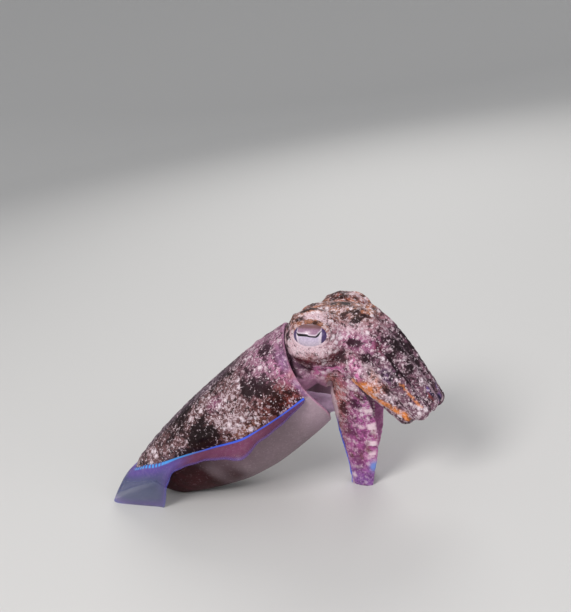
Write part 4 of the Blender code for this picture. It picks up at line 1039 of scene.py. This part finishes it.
def buildHead():
    parts = [headCore(), orbitSkin(-1), orbitSkin(1), funnelSkin()]
    parts += [armSkin(number, side) for number, side in armNames]
    parts += [webSkin((a, side), (b, side)) for a, b in ("12", "23") for side in (-1, 1)]
    parts.append(webSkin(("1", -1), ("1", 1)))
    mesh = outwards(voxelSkin("head_skin", parts, head["voxel"]))
    points, edges = readPoints(mesh), readArray(mesh.edges, "vertices", np.int32, 2)
    print("head skin", len(points), "points")
    arm = armCoordinates(points)
    deep = step(arm["share"], 0.03, 0.16) * (1 - step(arm["depth"], 1.6, 2.4))
    ball = lengths(points - np.array(funnel["mouth"]) - shift)
    weight = np.clip(1 - deep, 0.0, 1) * step(ball, 0.006, 0.016)
    points = relax(points, edges, weight, head["softRounds"])
    points = relax(points, edges, np.full(len(points), 1.0), head["smoothRounds"], keep=True)
    writePoints(mesh, points)
    normals = readNormals(mesh)
    rise = 0.0002 * lumps(points, 0.0048, 41) + 0.00016 * lumps(points, 0.0026, 42)
    for side in (-1, 1):
        for f, left, up in head["browPlaces"]:
            offset = points - orbitMiddle(side)
            aim = unit(inHead(f, side * left, up) - orbitMiddle(side))
            along, (long, thick, high) = offset @ aim, head["brow"]
            flat = offset - along[:, None] * aim
            brow = np.exp(-(flat @ headForward / long)**2 - (lengths(flat) / thick)**2)
            rise = rise + high * brow * (along > 0)
    points = points + normals * rise[:, None]
    points[:, 2] = np.maximum(points[:, 2], 0.0)
    writePoints(mesh, points)
    tint, tone, strength = headColours(points)
    nodes = ["head", "funnel"] + ["arm_{}_{}_{}".format(number, "left" if side > 0 else "right", half)
                                  for number, side in armNames for half in ("base", "tip")]
    return finishPiece("head_and_arm_skin", mesh, headMaterial, "head_skin", nodes,
                       tint=tint, tone=tone, strength=strength)


buildHead()


# Eyes and lids

def eyeMaterial():
    made, tree, shader = newMaterial("eye_look", looks["eye"])
    place = node(tree, "ShaderNodeTexCoord").outputs["Object"]
    streaks = node(tree, "ShaderNodeTexNoise", {"Scale": 900.0, "Detail": 3.0, "Vector": place}).outputs[0]
    shade = sums(tree, "MULTIPLY", ramp(tree, streaks, 0.30, 0.70), 0.30)
    sheen = mixColour(tree, shade, attribute(tree, "tint", "Color"), (0.30, 0.24, 0.38, 1), "MULTIPLY")
    tree.links.new(sheen, shader.inputs["Base Color"])
    return made


eyeLook = eyeMaterial()
eyeColours = palette(silver=(206, 190, 214), flap=(166, 128, 152), flapEdge=(118, 78, 72), band=(74, 50, 104),
                     pupil=(6, 4, 8), pale=(240, 224, 236))
# the slit's height and half thickness at places along the eye, from the rear end to the front one
slit = {"at": (-0.80, -0.56, -0.08, 0.14, 0.42, 0.60, 0.72),
        "height": (0.26, -0.02, -0.04, -0.13, -0.14, 0.10, 0.42),
        "half": (0.0, 0.085, 0.075, 0.040, 0.045, 0.105, 0.0)}


def buildEye(word, side):
    # an ellipsoid whose upper part is raised into the flap over the wavy pupil
    ball, axes = eyeFrame(side)
    wide, high, deep = eye["radii"]
    lat = np.linspace(0.0005, 1.75, eye["rings"])[:, None]
    lon = around(eye["sides"])
    a = wide * np.sin(lat) * np.cos(lon)
    b = high * np.sin(lat) * np.sin(lon)
    x, y = a / eye["lidReach"][0], b / eye["lidReach"][3]
    wave, half = ease(x, slit["at"], slit["height"]), ease(x, slit["at"], slit["half"])
    flap = step(y - wave, half, half + 0.06) * step(0.70 - np.abs(x), 0.0, 0.08) * (1 - step(y, 0.85, 1.1))
    depth = deep * np.cos(lat) * np.ones_like(lon) + 0.00040 * flap
    rings = ball + a[..., None] * axes[0] + depth[..., None] * axes[1] + b[..., None] * axes[2]
    mesh = outwards(rawMesh("eye_ball_" + word, *closedTube(rings)))
    x, y, wave, half, flap = (np.append(v.ravel(), [v.ravel()[0], 0.0]) for v in (x, y, wave, half, flap))
    curve = np.abs(x) + 0.10 * np.abs(y)
    corner = step(curve, 0.72, 0.78) * (1 - step(curve, 1.08, 1.20))
    tint = blendColours(
        evenly("silver", len(x), eyeColours),
        ("pale", 0.8 * bell(np.abs(x), 0.66, 0.08) + 0.35 * step(-y, 0.30, 0.7) + 0.4 * step(-y, 0.75, 0.98)),
        ("flap", flap), ("flapEdge", 0.85 * flap * step(y, 0.38, 0.70)),
        ("pale", 0.75 * bell(y - wave - half, 0.09, 0.07) * step(0.72 - np.abs(x), 0.0, 0.06)),
        ("pupil", step(half - np.abs(y - wave), -0.035, 0.0) * step(0.76 - np.abs(x), 0.0, 0.03)),
        ("band", corner * (1 - step(np.abs(y - 0.12), 0.70, 0.95))), colours=eyeColours)
    return finishPiece("eye_ball_" + word, mesh, eyeLook, "eye_gloss", ("eye_" + word,), tint=tint)


def buildLids(word, side):
    # a soft ring where the eyeball comes out of the orbit: a tube carried round a flattened loop
    ball, axes = eyeFrame(side)
    basis = np.array((headForward, headLeft, headUp)) / (np.array(head["orbitRadii"])[:, None] - 0.0002)
    angle = around(eye["lidRings"])
    before, behind, over, under = eye["lidReach"]
    along = np.where(np.cos(angle) > 0, before, behind) * np.cos(angle)
    above = np.where(np.sin(angle) > 0, over, under) * np.sin(angle)
    flat = ball + along[:, None] * axes[0] + above[:, None] * axes[2]
    start, aim = (flat - orbitMiddle(side)) @ basis.T, basis @ axes[1]
    qa, qb, qc = aim @ aim, start @ aim, np.sum(start * start, axis=1) - 1
    centre = flat + ((-qb + np.sqrt(qb * qb - qa * qc)) / qa)[:, None] * axes[1]
    least, most = eye["lid"]
    radius = least + (most - least) * (0.5 + 0.5 * np.sin(angle))
    centre = centre - (0.00055 - 0.0004 * np.sin(angle))[:, None] * axes[1]
    outward = unit(along[:, None] * axes[0] + above[:, None] * axes[2])
    turned = around(eye["lidSides"])
    thick = radius[:, None] * (1 + 0.10 * np.cos(3 * turned))[None, :]
    rings = (centre[:, None] + (thick * np.cos(turned))[..., None] * outward[:, None] * 1.15
             + (thick * np.sin(turned))[..., None] * axes[1])
    rows, columns = rings.shape[:2]
    quads = gridFaces(rows + 1, columns)
    quads = np.where(quads >= rows * columns, quads - rows * columns, quads)
    mesh = outwards(rawMesh("lids_" + word, rings.reshape(-1, 3), quads, np.zeros((0, 3), int)))
    tint, tone, strength = headColours(readPoints(mesh))
    upper = step(np.repeat(np.sin(angle), columns), 0.1, 0.6)
    lower = step(-np.repeat(np.sin(angle), columns), 0.1, 0.6)
    tint = blendColours(tint, ("lid", 0.70 * upper), ("palePink", 0.60 * lower))
    return finishPiece("lids_" + word, mesh, headMaterial, "head_skin", (),
                       tint=tint, tone=tone - 0.25 * upper, strength=strength * (1 - 0.6 * lower))


for word, side in (("right", -1), ("left", 1)):
    buildEye(word, side)
    buildLids(word, side)


# Suckers

sucker = {"rows": (-0.62, -0.22, 0.22, 0.62), "spacing": 0.0024, "radius": (0.0010, 0.0004),
          "height": (0.0009, 0.0005), "start": 0.008, "end": 0.0008, "gap": 0.0004, "sides": 10, "seed": 17,
          # a cup's outline: radius and height as shares, from its foot in the arm to the middle of its bowl
          "outline": ((0.55, -1.6), (0.62, 0.1), (1.0, 0.55), (0.98, 0.9), (0.72, 1.0), (0.45, 0.55),
                      (0.0, 0.35))}


def buildSuckers():
    # short cups of revolution in four staggered rows on the inner face of each arm, smaller to the tip
    rng = np.random.default_rng(sucker["seed"])
    reach, rise = np.array(sucker["outline"]).T[:, :, None, None]
    turned = around(sucker["sides"])
    parts = []
    for number, side in armNames:
        path, direction, outward, shares = armPath(number, side)
        length = np.concatenate([[0], np.cumsum(lengths(np.diff(path, axis=0)))])
        for row, place in enumerate(sucker["rows"]):
            at = sucker["start"] + 0.5 * (row % 2) * sucker["spacing"]
            while at < length[-1] - sucker["end"]:
                share, taper = np.interp(at, length, shares), at / length[-1]
                centre, along, out = (np.array([np.interp(at, length, field[:, k]) for k in range(3)])
                                      for field in (path, direction, outward))
                along, out = unit(along), unit(out)
                across = np.cross(along, out)
                width, _, inner = (size[0] - arms["shrink"] for size in armSizes(number, np.array([share])))
                level = math.sqrt(1 - place**2)
                normal = unit(place / width * across - level / inner * out)
                point = centre + place * width * across - inner * level**arms[number]["sharp"] * out
                size = 0.9 + 0.2 * rng.random()
                radius, height = (size * (big + (small - big) * taper)
                                  for big, small in (sucker["radius"], sucker["height"]))
                first = unit(np.cross(normal, along))
                circle = np.cos(turned)[:, None] * first + np.sin(turned)[:, None] * np.cross(normal, first)
                p, q, t = closedTube((point + rise * height * normal + reach * radius * circle)[:-1])
                p[-1] = point + rise[-1] * height * normal
                if p[:, 2].min() > 0.0002:  # none reaches the floor at the foot of the lowest arms
                    parts.append((p, q, t))
                at += 2.1 * radius + sucker["gap"]
    mesh = outwards(rawMesh("suckers", *joined(parts)))
    count = len(mesh.vertices)
    return finishPiece("suckers", mesh, headMaterial, "arm_skin", (), tint=evenly("palePink", count),
                       tone=np.full(count, 0.1), strength=np.full(count, 0.12))


buildSuckers()


# Floor, light and camera

ground = {"sides": 96, "slope": (1.6, 4.2), "rise": 1.9}
lights = {  # position, size, power and colour; all look at a point over the middle of the floor
    "key light": ((-0.55, -0.95, 1.15), 0.7, 16.0, (1.0, 0.98, 0.96)),
    "fill light": ((1.05, -0.75, 0.60), 0.9, 5.0, (0.96, 0.97, 1.0)),
    "back light": ((0.15, 1.05, 0.95), 0.8, 6.0, (1.0, 0.99, 0.97)),
}


def buildFloor():
    # a wide plain floor that rises smoothly far away on all sides
    radius = np.concatenate([[0.02], np.linspace(0.3, ground["slope"][0], 12), np.linspace(1.7, 3.4, 40)])
    turned = around(ground["sides"])
    rings = np.stack(np.broadcast_arrays(radius[:, None] * np.cos(turned), radius[:, None] * np.sin(turned),
                                         ground["rise"] * step(radius, *ground["slope"])[:, None]), axis=-1)
    points = np.vstack([rings.reshape(-1, 3), [[0, 0, 0]]])
    j = np.arange(len(turned))
    middle = np.stack([j, np.roll(j, -1), np.full(len(j), len(points) - 1)], axis=1)
    mesh = rawMesh("floor", points, gridFaces(len(radius), len(j))[:, ::-1], middle)
    mesh.shade_smooth()
    mesh.materials.append(newMaterial("floor_look", looks["floor"])[0])
    floor = placed("floor", mesh)


def turnTo(thing, right, above, back, position):  # a light or a camera looks along minus back
    rows = [[right[k], above[k], back[k], position[k]] for k in range(3)]
    thing.matrix_world = Matrix(rows + [[0, 0, 0, 1]])


def addLight(name, position, size, power, tint):
    data = bpy.data.lights.new(name, "AREA")
    data.shape, data.size, data.energy, data.color = "DISK", size, power, tint
    back = unit(np.array(position) - (0.0, 0.0, 0.06))
    right = unit(np.cross(upward, back))
    turnTo(placed(name, data), right, np.cross(back, right), back, position)


buildFloor()
for name, (position, size, power, tint) in lights.items():
    addLight(name, position, size, power, tint)
world = bpy.data.worlds.new("soft studio")
bpy.context.scene.world = world
world.use_nodes = True
sky = world.node_tree.nodes["Background"].inputs
sky[0].default_value = (0.9, 0.93, 0.97, 1)
sky[1].default_value = 0.42

camera = {"target": (-0.066, -0.008, 0.0), "pixel": (188, 495), "distance": 0.57, "azimuth": 8.0,
          "elevation": 19.0, "roll": 10.5, "lens": 50.0, "sensor": 36.0, "size": (571, 612)}


def buildCamera():
    # the target shows at the given pixel; the view leans so that the floor's right side rises
    azimuth, elevation, lean = (math.radians(camera[key]) for key in ("azimuth", "elevation", "roll"))
    back = np.array([math.sin(azimuth) * math.cos(elevation), -math.cos(azimuth) * math.cos(elevation),
                     math.sin(elevation)])
    right0 = np.array([math.cos(azimuth), math.sin(azimuth), 0.0])
    up0 = np.cross(back, right0)
    right = math.cos(lean) * right0 - math.sin(lean) * up0
    above = math.sin(lean) * right0 + math.cos(lean) * up0
    wide, tall = camera["size"]
    focal = camera["lens"] / camera["sensor"] * tall
    x = (camera["pixel"][0] - wide / 2) / focal
    y = -(camera["pixel"][1] - tall / 2) / focal
    position = np.array(camera["target"]) + shift - camera["distance"] * (x * right + y * above - back)
    data = bpy.data.cameras.new("camera")
    data.lens, data.sensor_width, data.sensor_fit = camera["lens"], camera["sensor"], "AUTO"
    data.clip_start = 0.01
    thing = placed("camera", data)
    turnTo(thing, right, above, back, position)
    bpy.context.scene.camera = thing
    print("camera", position)


buildCamera()
bpy.context.scene.view_settings.view_transform = "Standard"
